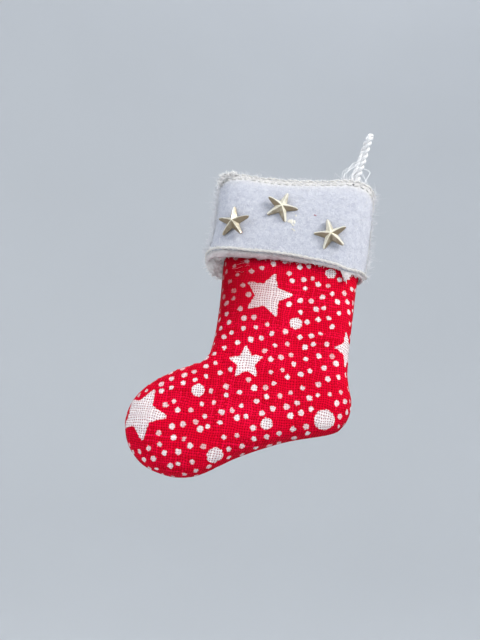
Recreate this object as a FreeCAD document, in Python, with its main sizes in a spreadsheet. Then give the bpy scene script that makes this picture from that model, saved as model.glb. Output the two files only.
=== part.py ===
import FreeCAD, Part

import math
import os

import Sketcher

# A miniature padded stocking that hangs from a loop of twisted cord.
# Millimetres, +Z up. The front faces -Y and the toe points to -X.
# The origin is the inside top of the hanging loop's eye, and y = 0 is the plane of the side seams.

# Driving dimensions: alias, value, what it is.
SIZES = (
    ("panel_half", 3.5, "half the padded leg's thickness, front to back"),
    ("panel_wall", 0.4, "printed cotton and its backing"),
    ("panel_round", 2.9, "rounding of the panels' edges towards the seam"),
    ("panel_top", -16.0, "top edge of the cotton, inside the cuff"),
    ("form_top", -14.5, "top of the block that the leg is cut from"),
    ("thread_gap", 0.5, "inset of the seam thread from the outline"),
    ("thread_size", 0.24, "size of the seam thread"),
    ("wad_gap", 0.9, "inset of the stuffing from the outline"),
    ("wad_top", -21.5, "top of the stuffing, the floor of the mouth"),
    ("cuff_mid", -11.1, "middle of the cuff across"),
    ("cuff_half_width", 13.5, "half the cuff's width"),
    ("cuff_half_depth", 4.7, "half the cuff's thickness, front to back"),
    ("felt", 0.7, "thickness of the cuff's felt"),
    ("hem_z", -27.85, "lower edge of the cuff"),
    ("rim_z", -12.4, "upper edge of the cuff at its middle"),
    ("rim_tilt", 5.4, "slope of the upper edge, up towards the heel side, degrees"),
    ("lining", 0.35, "thickness of the fluffy inner layer"),
    ("lining_gap", 0.03, "gap between felt and inner layer"),
    ("lining_drop", 1.0, "how far the inner layer shows under the hem"),
    ("lining_top", -16.0, "top of the inner layer"),
    ("edge_cord", 0.55, "diameter of the cord along the cuff's edges"),
    ("edge_gap", 0.02, "gap between the edge cord and the felt"),
    ("stitch_size", 0.14, "diameter of the overcast thread"),
    ("stitch_long", 0.9, "length of one overcast stitch"),
    ("stitch_pitch", 1.1, "distance between stitches"),
    ("stitch_slant", 35.0, "slant of a stitch, degrees"),
    ("stitch_shift", 0.6, "a stitch's middle below its edge cord, as a share of its length"),
    ("side_thread", 0.3, "diameter of the thread in the cuff's side seams"),
    ("star_reach", 2.5, "centre of a star to its tips"),
    ("star_waist", 0.95, "centre of a star to its inner corners"),
    ("star_crown", 0.12, "size of the star's top against its base"),
    ("star_height", 0.8, "height of the pressed star"),
    ("glue_radius", 0.85, "glue dot at the felt"),
    ("glue_height", 0.32, "thickness of a glue dot"),
    ("glue_gap", 0.02, "gap between the glue and what it holds"),
    ("loop_cord_size", 0.85, "diameter of the hanging cord"),
    ("pivot_gap", 0.1, "clearance between the loop and the ends it turns on"),
    ("tack_size", 0.3, "diameter of the tack stitches"),
    ("tack_x", -1.3, "middle of the tack stitches across"),
    ("tack_z", -18.0, "height of the tack stitches"),
    ("tack_gap", 0.15, "gap between the tack stitches and the cord"),
    ("tack_half", 2.6, "half the length of a tack stitch"),
)

# Corners of the leg's outline in the seam plane: name, x, z, rounding. The first and last stay sharp.
LEG_CORNERS = (
    ("mouth_toe_side", -20.8, -14.5, 0),
    ("ankle", -19.2, -45.7, 4.0),
    ("toe_top", -29.7, -52.1, 5.0),
    ("toe_tip", -29.7, -63.1, 7.0),
    ("toe_ball", -18.9, -63.1, 5.0),
    ("arch", -8.3, -56.4, 12.0),
    ("heel", 2.5, -52.4, 3.4),
    ("heel_back", 2.4, -48.0, 4.0),
    ("tendon", 1.1, -44.0, 6.0),
    ("mouth_heel_side", 0.7, -14.5, 0),
)

# Stars on the cuff: name, x, z, turn in degrees.
STARS = (
    ("left", -19.5, -23.65, -1.0),
    ("middle", -12.3, -20.25, -10.0),
    ("right", -4.3, -23.65, 8.0),
)
STAR_POINTS = 5

# The hanging cord, from one end inside the mouth, up through the loop and down to the other end.
# The loop turns about the line through the two points called pivots.
FRONT_END = ((-1.35, -0.6, -18.9), (-1.15, -0.5, -14.6))
FRONT_PIVOT = (-1.24, -0.55, -10.09)
EYE = (
    (-0.95, -0.68, -7.75),
    (-0.62, -1.0, -5.2),
    (-0.38, -1.75, -3.05),
    (-0.12, -1.95, -1.1),
    (0.05, -0.9, 0.43),
    (0.06, 0.9, 0.44),
    (-0.13, 1.98, -1.05),
    (-0.36, 1.72, -3.0),
    (-0.66, 1.05, -5.3),
    (-0.92, 0.64, -7.8),
)
BACK_PIVOT = (-1.24, 0.55, -10.09)
BACK_END = ((-1.12, 0.62, -14.5), (-1.4, 0.55, -18.8))

BIG = 60.0
VOLUME_TOLERANCE = 0.02
# Share of the shorter run that each rounded corner of a cord's route takes.
ARC_SHARE = 0.45

doc = FreeCAD.newDocument("stocking")
sizes = doc.addObject("Spreadsheet::Sheet", "sizes")


def fill_sheet():
    """Writes every driving dimension into the spreadsheet, one aliased cell each."""
    rows = [(alias, value, note) for alias, value, note in SIZES]
    for name, x, z, rounding in LEG_CORNERS:
        rows.append((name + "_x", x, "outline corner, across"))
        rows.append((name + "_z", z, "outline corner, height"))
        rows.append((name + "_round", rounding, "outline corner, rounding"))
    for name, x, z, turn in STARS:
        rows.append(("star_" + name + "_x", x, "star centre, across"))
        rows.append(("star_" + name + "_z", z, "star centre, height"))
        rows.append(("star_" + name + "_turn", turn, "star's turn, degrees"))
    for row, (alias, value, note) in enumerate(rows, start=1):
        sizes.set("A%d" % row, note)
        sizes.set("B%d" % row, str(value))
        sizes.setAlias("B%d" % row, alias)
    doc.recompute()


def cell(alias):
    return float(sizes.get(alias))


def bind(thing, **formulas):
    """Binds properties to formulas of the spreadsheet's cells."""
    for name, formula in formulas.items():
        thing.setExpression(name.replace("__", "."), formula)


def new_body(label):
    body = doc.addObject("PartDesign::Body", label)
    body.Label = label
    return body


def new_sketch(body, name, plane, height=None):
    """A sketch on one of the body's own origin planes, raised by a formula if one is given."""
    sketch = body.newObject("Sketcher::SketchObject", name)
    support = [f for f in body.Origin.OriginFeatures if f.Role == plane][0]
    sketch.AttachmentSupport = [(support, "")]
    sketch.MapMode = "FlatFace"
    if height:
        sketch.setExpression(".AttachmentOffset.Base.z", height)
    return sketch


def constrain(sketch, kind, places, name, formula, start):
    """A named dimension that follows a formula."""
    index = sketch.addConstraint(Sketcher.Constraint(kind, *places, start))
    sketch.renameConstraint(index, name)
    sketch.setExpression("Constraints." + name, formula)


def polygon(sketch, points):
    """A closed polygon. Each point is a name, its place and the two formulas that hold it there."""
    places = [FreeCAD.Vector(x, y, 0) for name, x, y, across, up in points]
    count = len(points)
    for i in range(count):
        sketch.addGeometry(Part.LineSegment(places[i], places[(i + 1) % count]), False)
    for i in range(count):
        sketch.addConstraint(Sketcher.Constraint("Coincident", i, 2, (i + 1) % count, 1))
    for i, (name, x, y, across, up) in enumerate(points):
        constrain(sketch, "DistanceX", (-1, 1, i, 1), name + "_x", across, x)
        constrain(sketch, "DistanceY", (-1, 1, i, 1), name + "_y", up, y)


def slot(sketch, half_width, half_depth, tag):
    """A slot about the sketch's origin. The two formulas give its half width and half depth."""
    first = sketch.GeometryCount
    reach = cell("cuff_half_width") - cell("cuff_half_depth")
    radius = cell("cuff_half_depth")
    left = FreeCAD.Vector(-reach, 0, 0)
    right = FreeCAD.Vector(reach, 0, 0)
    up = FreeCAD.Vector(0, 0, 1)
    quarter = math.pi / 2
    sketch.addGeometry(Part.ArcOfCircle(Part.Circle(left, up, radius), quarter, 3 * quarter), False)
    sketch.addGeometry(Part.ArcOfCircle(Part.Circle(right, up, radius), -quarter, quarter), False)
    for way in (-1, 1):
        start = FreeCAD.Vector(way * reach, way * radius, 0)
        sketch.addGeometry(Part.LineSegment(start, FreeCAD.Vector(-way * reach, way * radius, 0)), False)
    left_arc, right_arc, lower, upper = range(first, first + 4)
    for one, end, other, start in (
        (left_arc, 2, lower, 1),
        (lower, 2, right_arc, 1),
        (right_arc, 2, upper, 1),
        (upper, 2, left_arc, 1),
    ):
        sketch.addConstraint(Sketcher.Constraint("Tangent", one, end, other, start))
    sketch.addConstraint(Sketcher.Constraint("Equal", left_arc, right_arc))
    sketch.addConstraint(Sketcher.Constraint("PointOnObject", left_arc, 3, -1))
    sketch.addConstraint(Sketcher.Constraint("PointOnObject", right_arc, 3, -1))
    constrain(sketch, "Radius", (left_arc,), tag + "_radius", half_depth, radius)
    centre = "%s - (%s)" % (half_width, half_depth)
    constrain(sketch, "DistanceX", (-1, 1, right_arc, 3), tag + "_right", centre, reach)
    constrain(sketch, "DistanceX", (left_arc, 3, -1, 1), tag + "_left", centre, reach)


def edges_where(shape, wanted):
    """Names of the shape's edges that pass a test."""
    return ["Edge%d" % (i + 1) for i, edge in enumerate(shape.Edges) if wanted(edge)]


def is_upright_at(edge, x, z):
    """An edge that runs front to back through a corner of the outline."""
    near = 0.01
    return all(math.hypot(v.X - x, v.Z - z) < near for v in edge.Vertexes) and len(edge.Vertexes) == 2


def box(label, low, high, tilted=False):
    """A box between two corners, each three formulas."""
    made = doc.addObject("Part::Box", label)
    for axis, size, lowest, highest in zip("xyz", ("Length", "Width", "Height"), low, high):
        made.setExpression(size, "(%s) - (%s)" % (highest, lowest))
        if not tilted:
            made.setExpression(".Placement.Base." + axis, lowest)
    return made


def boolean(kind, label, base, tool):
    made = doc.addObject("Part::" + kind, label)
    made.Label = label
    made.Base = base
    made.Tool = tool
    return made


def shrunk(label, source, formula):
    """The source solid, moved inwards all over by a formula."""
    made = doc.addObject("Part::Offset", label)
    made.Source = source
    made.Mode = 0
    made.Join = 0
    made.setExpression("Value", "-(%s)" % formula)
    return made


def leg_form():
    """The padded leg as one block, from the toe to above the cotton's top edge."""
    body = new_body("leg_form")
    sketch = new_sketch(body, "leg_outline", "XZ_Plane")
    polygon(
        sketch,
        [(name, x, z, "sizes." + name + "_x", "sizes." + name + "_z") for name, x, z, r in LEG_CORNERS],
    )
    pad = body.newObject("PartDesign::Pad", "leg_pad")
    pad.Profile = sketch
    pad.Midplane = True
    bind(pad, Length="2 * sizes.panel_half")
    doc.recompute()
    last = pad
    for name, x, z, rounding in LEG_CORNERS:
        if not rounding:
            continue
        corner = body.newObject("PartDesign::Fillet", name + "_fillet")
        corner.Base = (last, edges_where(last.Shape, lambda edge: is_upright_at(edge, x, z)))
        bind(corner, Radius="sizes." + name + "_round")
        doc.recompute()
        last = corner
    half = cell("panel_half")
    top = cell("form_top")
    rim = body.newObject("PartDesign::Fillet", "panel_fillet")
    rim.Base = (
        last,
        edges_where(
            last.Shape,
            lambda edge: all(abs(abs(v.Y) - half) < 0.01 for v in edge.Vertexes)
            and abs(edge.CenterOfMass.z - top) > 0.01
            and abs(abs(edge.CenterOfMass.y) - half) < 0.01,
        ),
    )
    bind(rim, Radius="sizes.panel_round")
    doc.recompute()
    return body


def make_leg():
    """The two cotton panels, the thread of the seam between them, and the stuffing."""
    form = leg_form()
    hollow = shrunk("leg_hollow", form, "sizes.panel_wall")
    big = str(BIG)
    deep = "-2 * " + big
    panels = []
    for label, near, far in (("leg_front", "-" + big, "0"), ("leg_back", "0", big)):
        space = box(label + "_space", ("-" + big, near, deep), (big, far, "sizes.panel_top"))
        half = boolean("Common", label + "_half", form, space)
        panels.append(boolean("Cut", label, half, hollow))

    outside = shrunk("thread_outside", form, "sizes.thread_gap")
    inside = shrunk("thread_inside", form, "sizes.thread_gap + sizes.thread_size")
    slab = box(
        "thread_space",
        ("-" + big, "-sizes.thread_size / 2", deep),
        (big, "sizes.thread_size / 2", "sizes.panel_top"),
    )
    slice_of_leg = boolean("Common", "thread_slice", outside, slab)
    thread = boolean("Cut", "leg_seam_thread", slice_of_leg, inside)

    wad_form = shrunk("wad_form", form, "sizes.wad_gap")
    wad_space = box("wad_space", ("-" + big, "-" + big, deep), (big, big, "sizes.wad_top"))
    wad = boolean("Common", "stuffing", wad_form, wad_space)
    return panels + [thread, wad]


def ring_wall(label, inset, wall, bottom, top):
    """An upright wall round the mouth: a slot-shaped tube. All sizes are formulas."""
    body = new_body(label)
    bind(body, **{".Placement.Base.x": "sizes.cuff_mid"})
    sketch = new_sketch(body, label + "_section", "XY_Plane", bottom)
    slot(sketch, "sizes.cuff_half_width - (%s)" % inset, "sizes.cuff_half_depth - (%s)" % inset, "outer")
    within = "(%s) - (%s)" % (inset, "-(%s)" % wall)
    slot(sketch, "sizes.cuff_half_width - (%s)" % within, "sizes.cuff_half_depth - (%s)" % within, "inner")
    pad = body.newObject("PartDesign::Pad", label + "_pad")
    pad.Profile = sketch
    pad.setExpression("Length", "(%s) - (%s)" % (top, bottom))
    return body


def make_cuff():
    """The felt band and its fluffy inner layer, each as a front and a back half."""
    big = str(BIG)
    band = ring_wall("cuff_band", "0", "sizes.felt", "sizes.hem_z", "sizes.rim_z / 2")
    cutter = box("rim_cutter", ("0", "0", "0"), (big, big, big), tilted=True)
    cutter.Placement.Rotation = FreeCAD.Rotation(FreeCAD.Vector(0, 1, 0), -cell("rim_tilt"))
    slope = "sizes.rim_tilt"
    bind(
        cutter,
        **{
            ".Placement.Base.x": "sizes.cuff_mid - %s / 2 * cos(%s * 1deg)" % (big, slope),
            ".Placement.Base.y": "-%s / 2" % big,
            ".Placement.Base.z": "sizes.rim_z - %s / 2 * sin(%s * 1deg)" % (big, slope),
        },
    )
    trimmed = boolean("Cut", "cuff_trimmed", band, cutter)
    inner = ring_wall(
        "lining_band",
        "sizes.felt + sizes.lining_gap",
        "sizes.lining",
        "sizes.hem_z - sizes.lining_drop",
        "sizes.lining_top",
    )
    made = []
    for label, source in (("cuff", trimmed), ("cuff_lining", inner)):
        front_half = box(label + "_front_space", ("-" + big, "-" + big, "-" + big), (big, "0", big))
        back_half = box(label + "_back_space", ("-" + big, "0", "-" + big), (big, big, big))
        made.append(boolean("Common", label + "_front", source, front_half))
        made.append(boolean("Common", label + "_back", source, back_half))
    return made


def edge_ring(label, height, tilt):
    """A cord that runs right round one edge of the cuff."""
    body = new_body(label)
    body.Placement.Rotation = FreeCAD.Rotation(FreeCAD.Vector(0, 1, 0), -tilt)
    bind(body, **{".Placement.Base.x": "sizes.cuff_mid", ".Placement.Base.z": height})
    path = new_sketch(body, label + "_path", "XY_Plane")
    slot(
        path,
        "sizes.cuff_half_width - sizes.edge_cord / 2",
        "sizes.cuff_half_depth - sizes.edge_cord / 2",
        "path",
    )
    section = new_sketch(body, label + "_section", "YZ_Plane")
    middle = FreeCAD.Vector(-cell("cuff_half_depth") + cell("edge_cord") / 2, 0, 0)
    circle = Part.Circle(middle, FreeCAD.Vector(0, 0, 1), cell("edge_cord") / 2)
    section.addGeometry(circle, False)
    section.addConstraint(Sketcher.Constraint("PointOnObject", 0, 3, -1))
    constrain(section, "Diameter", (0,), "cord", "sizes.edge_cord", cell("edge_cord"))
    constrain(
        section,
        "DistanceX",
        (0, 3, -1, 1),
        "offset",
        "sizes.cuff_half_depth - sizes.edge_cord / 2",
        -middle.x,
    )
    pipe = body.newObject("PartDesign::AdditivePipe", label + "_pipe")
    pipe.Profile = section
    pipe.Spine = (path, ["Edge%d" % (i + 1) for i in range(4)])
    return body


def front_places():
    """Evenly spaced places across the front of the cuff, measured from its middle."""
    straight = cell("cuff_half_width") - cell("cuff_half_depth")
    pitch = cell("stitch_pitch")
    count = int(2 * straight / pitch)
    return [(i - (count - 1) / 2) * pitch for i in range(count)]


def stitch_row(label, height, tilt, drop):
    """Slanted overcast stitches across the front of the felt, beside one of the edge cords."""
    long = cell("stitch_long")
    size = cell("stitch_size")
    slant = math.radians(cell("stitch_slant"))
    away = FreeCAD.Vector(math.sin(slant), 0, math.cos(slant))
    front = -cell("cuff_half_depth") - size / 2 - cell("edge_gap")
    middle = drop * long * cell("stitch_shift")
    rods = []
    for along in front_places():
        foot = FreeCAD.Vector(along, front, middle) - away * (long / 2)
        rods.append(Part.makeCylinder(size / 2, long, foot, away))
    row = doc.addObject("Part::Feature", label)
    row.Shape = Part.makeCompound(rods)
    row.Placement = FreeCAD.Placement(
        FreeCAD.Vector(cell("cuff_mid"), 0, height), FreeCAD.Rotation(FreeCAD.Vector(0, 1, 0), -tilt)
    )
    return row


def side_thread(label, side, lift):
    """The thread that shows down one side seam of the cuff. It starts lift edge cords above the hem."""
    thread = doc.addObject("Part::Cylinder", label)
    outwards = "sizes.cuff_half_width + sizes.side_thread / 2 + sizes.edge_gap"
    bind(
        thread,
        Radius="sizes.side_thread / 2",
        Height="sizes.rim_z - sizes.hem_z - 4 * sizes.edge_cord",
        **{
            ".Placement.Base.x": "sizes.cuff_mid + %d * (%s)" % (side, outwards),
            ".Placement.Base.z": "sizes.hem_z + %.1f * sizes.edge_cord" % lift,
        },
    )
    return thread


def make_edges():
    """Edge cords, overcast stitches and side seam threads of the cuff."""
    tilt = cell("rim_tilt")
    clear = cell("edge_cord") / 2 + cell("edge_gap")
    return [
        edge_ring("rim_cord", "sizes.rim_z + sizes.edge_cord / 2 + sizes.edge_gap", tilt),
        edge_ring("hem_cord", "sizes.hem_z - sizes.edge_cord / 2 - sizes.edge_gap", 0),
        stitch_row("rim_stitches", cell("rim_z") + clear, tilt, -1),
        stitch_row("hem_stitches", cell("hem_z") - clear, 0, 1),
        side_thread("cuff_seam_left", -1, 0.6),
        side_thread("cuff_seam_right", 1, 2.0),
    ]


def star_points(scale):
    """Corners of a five-armed star, tips and inner corners in turn, with their formulas."""
    points = []
    for i in range(2 * STAR_POINTS):
        angle = 90 + 180 / STAR_POINTS * i
        size = "star_reach" if i % 2 == 0 else "star_waist"
        x = scale * cell(size) * math.cos(math.radians(angle))
        y = scale * cell(size) * math.sin(math.radians(angle))
        factor = "sizes.star_crown * " if scale != 1 else ""
        across = "%ssizes.%s * cos(%gdeg)" % (factor, size, angle)
        up = "%ssizes.%s * sin(%gdeg)" % (factor, size, angle)
        points.append(("point%d" % i, x, y, across, up))
    return points


def star(name):
    """One pressed metal star with ridged arms, its back towards the felt."""
    body = new_body("star_" + name)
    base = new_sketch(body, name + "_star_base", "XY_Plane")
    polygon(base, star_points(1))
    crown = new_sketch(body, name + "_star_crown", "XY_Plane", "sizes.star_height")
    polygon(crown, star_points(cell("star_crown")))
    loft = body.newObject("PartDesign::AdditiveLoft", name + "_star_loft")
    loft.Profile = base
    loft.Sections = [crown]
    loft.Ruled = True
    upright = FreeCAD.Rotation(FreeCAD.Vector(1, 0, 0), 90)
    turned = FreeCAD.Rotation(FreeCAD.Vector(0, 0, 1), cell("star_" + name + "_turn"))
    body.Placement.Rotation = upright * turned
    bind(
        body,
        **{
            ".Placement.Base.x": "sizes.star_%s_x" % name,
            ".Placement.Base.y": "-sizes.cuff_half_depth - sizes.glue_height - 2 * sizes.glue_gap",
            ".Placement.Base.z": "sizes.star_%s_z" % name,
        },
    )
    return body


def glue(name):
    """The squeezed dot of clear glue under one star."""
    dot = doc.addObject("Part::Cone", "glue_" + name)
    dot.Placement.Rotation = FreeCAD.Rotation(FreeCAD.Vector(1, 0, 0), 90)
    bind(
        dot,
        Radius1="sizes.glue_radius",
        Radius2="sizes.glue_radius * 0.8",
        Height="sizes.glue_height",
        **{
            ".Placement.Base.x": "sizes.star_%s_x" % name,
            ".Placement.Base.y": "-sizes.cuff_half_depth - sizes.glue_gap",
            ".Placement.Base.z": "sizes.star_%s_z" % name,
        },
    )
    return dot


def make_stars():
    """The stars on the cuff's front and the glue under each."""
    names = [name for name, x, z, turn in STARS]
    return [star(name) for name in names] + [glue(name) for name in names]


def rounded_path(points, label):
    """Straight runs joined by tangent arcs, each as large as its two runs allow."""
    places = [FreeCAD.Vector(*point) for point in points]
    edges = []
    start = places[0]
    for before, corner, after in zip(places, places[1:], places[2:]):
        inwards = before - corner
        outwards = after - corner
        shorter = min(inwards.Length, outwards.Length)
        turn = math.pi - inwards.getAngle(outwards)
        trim = ARC_SHARE * shorter
        radius = trim / math.tan(turn / 2)
        print("%s: arc radius %.2f mm" % (label, radius))
        inwards.normalize()
        outwards.normalize()
        first = corner + inwards * trim
        last = corner + outwards * trim
        bisector = inwards + outwards
        bisector.normalize()
        middle = corner + bisector * (radius / math.cos(turn / 2) - radius)
        edges.append(Part.LineSegment(start, first).toShape())
        edges.append(Part.Arc(first, middle, last).toShape())
        start = last
    edges.append(Part.LineSegment(start, places[-1]).toShape())
    return Part.Wire(edges)


def tube(points, label):
    """A round cord along a rounded path. Its volume is its section times its length."""
    radius = cell("loop_cord_size") / 2
    path = rounded_path(points, label)
    direction = FreeCAD.Vector(*points[1]) - FreeCAD.Vector(*points[0])
    section = Part.Wire(Part.makeCircle(radius, FreeCAD.Vector(*points[0]), direction))
    solid = path.makePipeShell([section], True, False)
    wanted = math.pi * radius**2 * path.Length
    if abs(solid.Volume / wanted - 1) > VOLUME_TOLERANCE:
        raise ValueError("%s: volume %.3f, wanted %.3f" % (label, solid.Volume, wanted))
    print("%s: length %.2f mm" % (label, path.Length))
    return solid


def feature(label, shapes):
    """One document object from one shape or several."""
    made = doc.addObject("Part::Feature", label)
    made.Shape = shapes[0] if len(shapes) == 1 else Part.makeCompound(shapes)
    return made


def past(pivot, towards):
    """The point just clear of the ball at a pivot, on the way to the next point."""
    start = FreeCAD.Vector(*pivot)
    way = FreeCAD.Vector(*towards) - start
    way.normalize()
    return tuple(start + way * (cell("loop_cord_size") / 2 + cell("pivot_gap")))


def make_loop():
    """The cord's two ends inside the mouth, the tack stitches across them, and the moving loop."""
    radius = cell("loop_cord_size") / 2
    ends = []
    for side, points in (("front", FRONT_END + (FRONT_PIVOT,)), ("back", BACK_END[::-1] + (BACK_PIVOT,))):
        ball = Part.makeSphere(radius, FreeCAD.Vector(*points[-1]))
        ends.append(tube(points, side + " end").fuse(ball).removeSplitter())
    root = feature("loop_root", ends)
    loop = feature(
        "loop_cord",
        [tube((past(FRONT_PIVOT, EYE[0]),) + EYE + (past(BACK_PIVOT, EYE[-1]),), "loop")],
    )
    half = cell("tack_half")
    size = cell("tack_size")
    clear = radius + size / 2 + cell("tack_gap")
    middle = cell("tack_x")
    tacks = [
        Part.makeCylinder(
            size / 2,
            2 * half,
            FreeCAD.Vector(middle + side * clear, -half, cell("tack_z")),
            FreeCAD.Vector(0, 1, 0),
        )
        for side in (-1, 1)
    ]
    return [root, loop, feature("loop_tack", tacks)]


def check(things):
    """Stops if any object of the document failed or any sub-part isn't a sound solid."""
    for thing in doc.Objects:
        if "Invalid" in thing.State or "Error" in thing.State or "Touched" in thing.State:
            raise ValueError("%s failed: %s" % (thing.Label, thing.State))
    for thing in things:
        shape = thing.Shape
        if shape.isNull() or not shape.isValid() or not shape.Solids:
            raise ValueError("%s is not a sound solid" % thing.Label)
        print("%-20s %3d solids, volume %8.2f mm3" % (thing.Label, len(shape.Solids), shape.Volume))


def export(things):
    """Writes one STEP file for each object."""
    os.makedirs("parts", exist_ok=True)
    for thing in things:
        thing.Shape.exportStep("parts/%s.step" % thing.Label)


fill_sheet()
nodes = []
for make in (make_leg, make_cuff, make_edges, make_stars, make_loop):
    nodes += make()
    doc.recompute()
check(nodes)
export(nodes)
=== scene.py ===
"""Looks of a miniature padded stocking that hangs from a loop of twisted cord.

Lengths in the tables and helpers are millimetres in the row frame: +Z up, the front faces -Y,
the toe points to -X, and the origin is the inside top of the loop's eye.
"""

import math

import bmesh
import bpy
import numpy as np
from mathutils import Matrix, Vector, geometry, noise


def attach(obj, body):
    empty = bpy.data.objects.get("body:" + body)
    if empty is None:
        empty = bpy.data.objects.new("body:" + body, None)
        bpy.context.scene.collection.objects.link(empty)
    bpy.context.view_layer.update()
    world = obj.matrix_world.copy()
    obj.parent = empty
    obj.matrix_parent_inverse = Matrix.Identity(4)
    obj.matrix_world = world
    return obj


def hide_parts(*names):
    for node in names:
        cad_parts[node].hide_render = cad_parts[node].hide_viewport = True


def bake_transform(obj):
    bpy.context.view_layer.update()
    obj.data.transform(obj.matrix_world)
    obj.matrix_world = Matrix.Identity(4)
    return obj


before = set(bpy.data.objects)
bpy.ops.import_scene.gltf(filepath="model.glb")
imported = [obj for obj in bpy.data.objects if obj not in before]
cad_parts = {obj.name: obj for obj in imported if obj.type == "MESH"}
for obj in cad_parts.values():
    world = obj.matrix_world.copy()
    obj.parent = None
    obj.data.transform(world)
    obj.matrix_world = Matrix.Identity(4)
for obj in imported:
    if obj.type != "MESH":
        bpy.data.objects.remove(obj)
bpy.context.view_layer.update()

MM = 0.001
UP = (0.0, 0.0, 1.0)

# The hanging cord's route, the part's own points with the two legs a little further apart across.
FRONT_END = ((-1.25, -0.6, -18.9), (-1.0, -0.5, -14.6))
FRONT_PIVOT = (-0.95, -0.55, -10.09)
EYE = (
    (-0.6, -0.68, -7.75), (-0.15, -1.0, -5.2), (0.12, -1.75, -3.05), (0.42, -1.95, -1.35),
    (0.56, -0.9, 0.02), (0.2, 0.9, 0.03), (-0.06, 1.98, -1.3), (-0.34, 1.72, -3.05),
    (-0.72, 1.05, -5.3), (-1.18, 0.64, -7.8),
)
BACK_PIVOT = (-1.5, 0.55, -10.09)
BACK_END = ((-1.3, 0.62, -14.5), (-1.5, 0.55, -18.8))
LOOP_STRAND = 0.27
LOOP_OFFSET = 0.27
LOOP_TWIST = 2.3

# Filaments that have sprung out of the cord near the rim.
FRAYED_FILAMENTS = (
    ((-0.8, -0.9, -5.9), (-1.6, -0.9, -6.4), (-2.7, -1.0, -8.0), (-3.2, -1.1, -8.4), (-3.2, -1.3, -11.6)),
    ((-0.7, -0.9, -6.2), (-1.5, -1.0, -6.7), (-2.5, -1.1, -8.1), (-2.9, -1.2, -9.4), (-2.6, -1.3, -11.6)),
    ((-0.8, -0.9, -7.2), (-1.5, -0.9, -8.3), (-1.9, -0.9, -9.2), (-1.8, -1.2, -11.4)),
    ((-0.8, -0.8, -6.8), (-1.3, -1.0, -7.6), (-1.7, -1.0, -8.8), (-1.6, -1.2, -11.4)),
    ((0.0, -0.9, -7.1), (0.7, -0.9, -7.4), (1.1, -0.9, -8.1), (0.9, -0.9, -8.9), (-0.2, -0.9, -11.2)),
    ((-0.4, -0.9, -7.9), (0.2, -1.2, -9.0), (0.7, -1.2, -10.2), (0.5, -1.2, -11.4)),
)
FILAMENT_RADIUS = 0.042
# Short hairs round the loop's foot.
FOOT_HAIRS = 60

# The leg's outline in the seam plane (x, z), from the toe side of its top edge round to the heel side.
LEG_OUTLINE = (
    (-20.9, -16.0), (-20.3, -28.2), (-19.6, -35.3), (-19.3, -40.5), (-19.5, -44.2), (-20.4, -45.9),
    (-22.0, -46.8), (-24.0, -47.9), (-26.1, -49.5), (-27.8, -51.2), (-29.0, -53.2), (-29.5, -55.6),
    (-29.2, -57.6), (-28.3, -59.6), (-26.9, -61.2), (-25.2, -62.3), (-22.9, -62.9), (-20.4, -63.0),
    (-17.4, -62.1), (-12.4, -58.7), (-6.4, -55.6), (-0.3, -53.4), (1.3, -52.1), (2.1, -50.3),
    (2.2, -48.1), (1.5, -45.6), (1.1, -42.0), (1.1, -30.0), (1.3, -27.2), (0.8, -16.0),
)
LEG_HALF = 3.5
LEG_FLATNESS = 6.0
LEG_SPACING = 0.5
SEAM_TUCK = 0.3
COTTON = 0.25
# How far the folds fade out at the seam, and the radius that a panel bends round to its seam with.
SEAM_FADE = 3.0
SEAM_BEND = 2.9
# The seam's puckers: pitch along it, depth, and how far in and how widely they lie.
PUCKER_PITCH = 2.1
PUCKER_DEPTH = 0.09
PUCKER_PLACE = 0.9
PUCKER_SPREAD = 0.8
# Soft folds that fan out from the ankle: heading and width in degrees, reach and depth.
ANKLE = (-19.0, -44.5)
FOLDS = ((-18, 9, 9, 0.3), (-52, 8, 8, 0.26), (14, 9, 8, 0.2))

# The cotton's print on each side: stars (x, z, reach, turn in degrees) and large dots (x, z, radius).
FRONT_STARS = (
    (-12.3, -34.9, 3.9, 10.0),
    (-13.75, -45.9, 2.7, 28.0),
    (-27.3, -55.6, 4.3, 0.0),
    (1.3, -41.0, 2.9, 43.0),
)
FRONT_DOTS = (
    (-7.5, -38.7, 0.9), (-19.7, -51.1, 0.9), (-9.4, -54.2, 0.8), (-1.4, -52.3, 1.55),
    (-15.5, -59.8, 1.12), (-3.4, -29.6, 0.8),
)
BACK_STARS = (
    (-6.2, -33.5, 3.7, 40.0),
    (-15.4, -41.5, 2.9, 12.0),
    (-5.0, -49.6, 3.4, 75.0),
    (-22.6, -56.4, 3.0, 50.0),
)
BACK_DOTS = (
    (-14.0, -32.2, 1.2), (-1.6, -41.4, 0.9), (-14.6, -53.2, 0.9), (-27.2, -53.0, 1.0),
    (-17.6, -61.0, 0.85), (-9.2, -41.0, 0.8),
)
DOT_SPACING = 1.78
DOT_RADIUS = 0.38
DOT_SCATTER = 0.42
DOT_CLEARANCE = 0.75
THREAD_PITCH = 0.36
# Painted shade is darkest about this place on the cloth, below the cuff on the toe side.
PAINTED_SHADE_CENTRE = (-19.5, -33.0, 0.0)

# The cuff: how far it reaches across, its hem and its rim's height along x, its depth up its height.
CUFF_RIM = (
    (-24.8, -13.9), (-20.4, -13.6), (-15.5, -13.8), (-10.3, -13.3), (-5.5, -12.4), (-2.2, -11.6),
    (0.8, -11.3), (2.4, -12.1),
)
CUFF_HEM = ((-24.8, -28.4), (-18.7, -28.6), (-11.6, -28.2), (-4.4, -28.5), (-0.9, -28.9), (2.4, -27.8))
CUFF_DEPTH = ((0.0, 4.5), (0.25, 4.7), (0.55, 4.65), (0.8, 4.1), (1.0, 3.1))
CUFF_LEFT = ((0.0, -23.1), (0.3, -22.75), (0.65, -23.2), (1.0, -23.55))
CUFF_RIGHT = ((0.0, 2.2), (0.5, 2.3), (1.0, 2.3))
CUFF_SQUARE = 7.0
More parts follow.
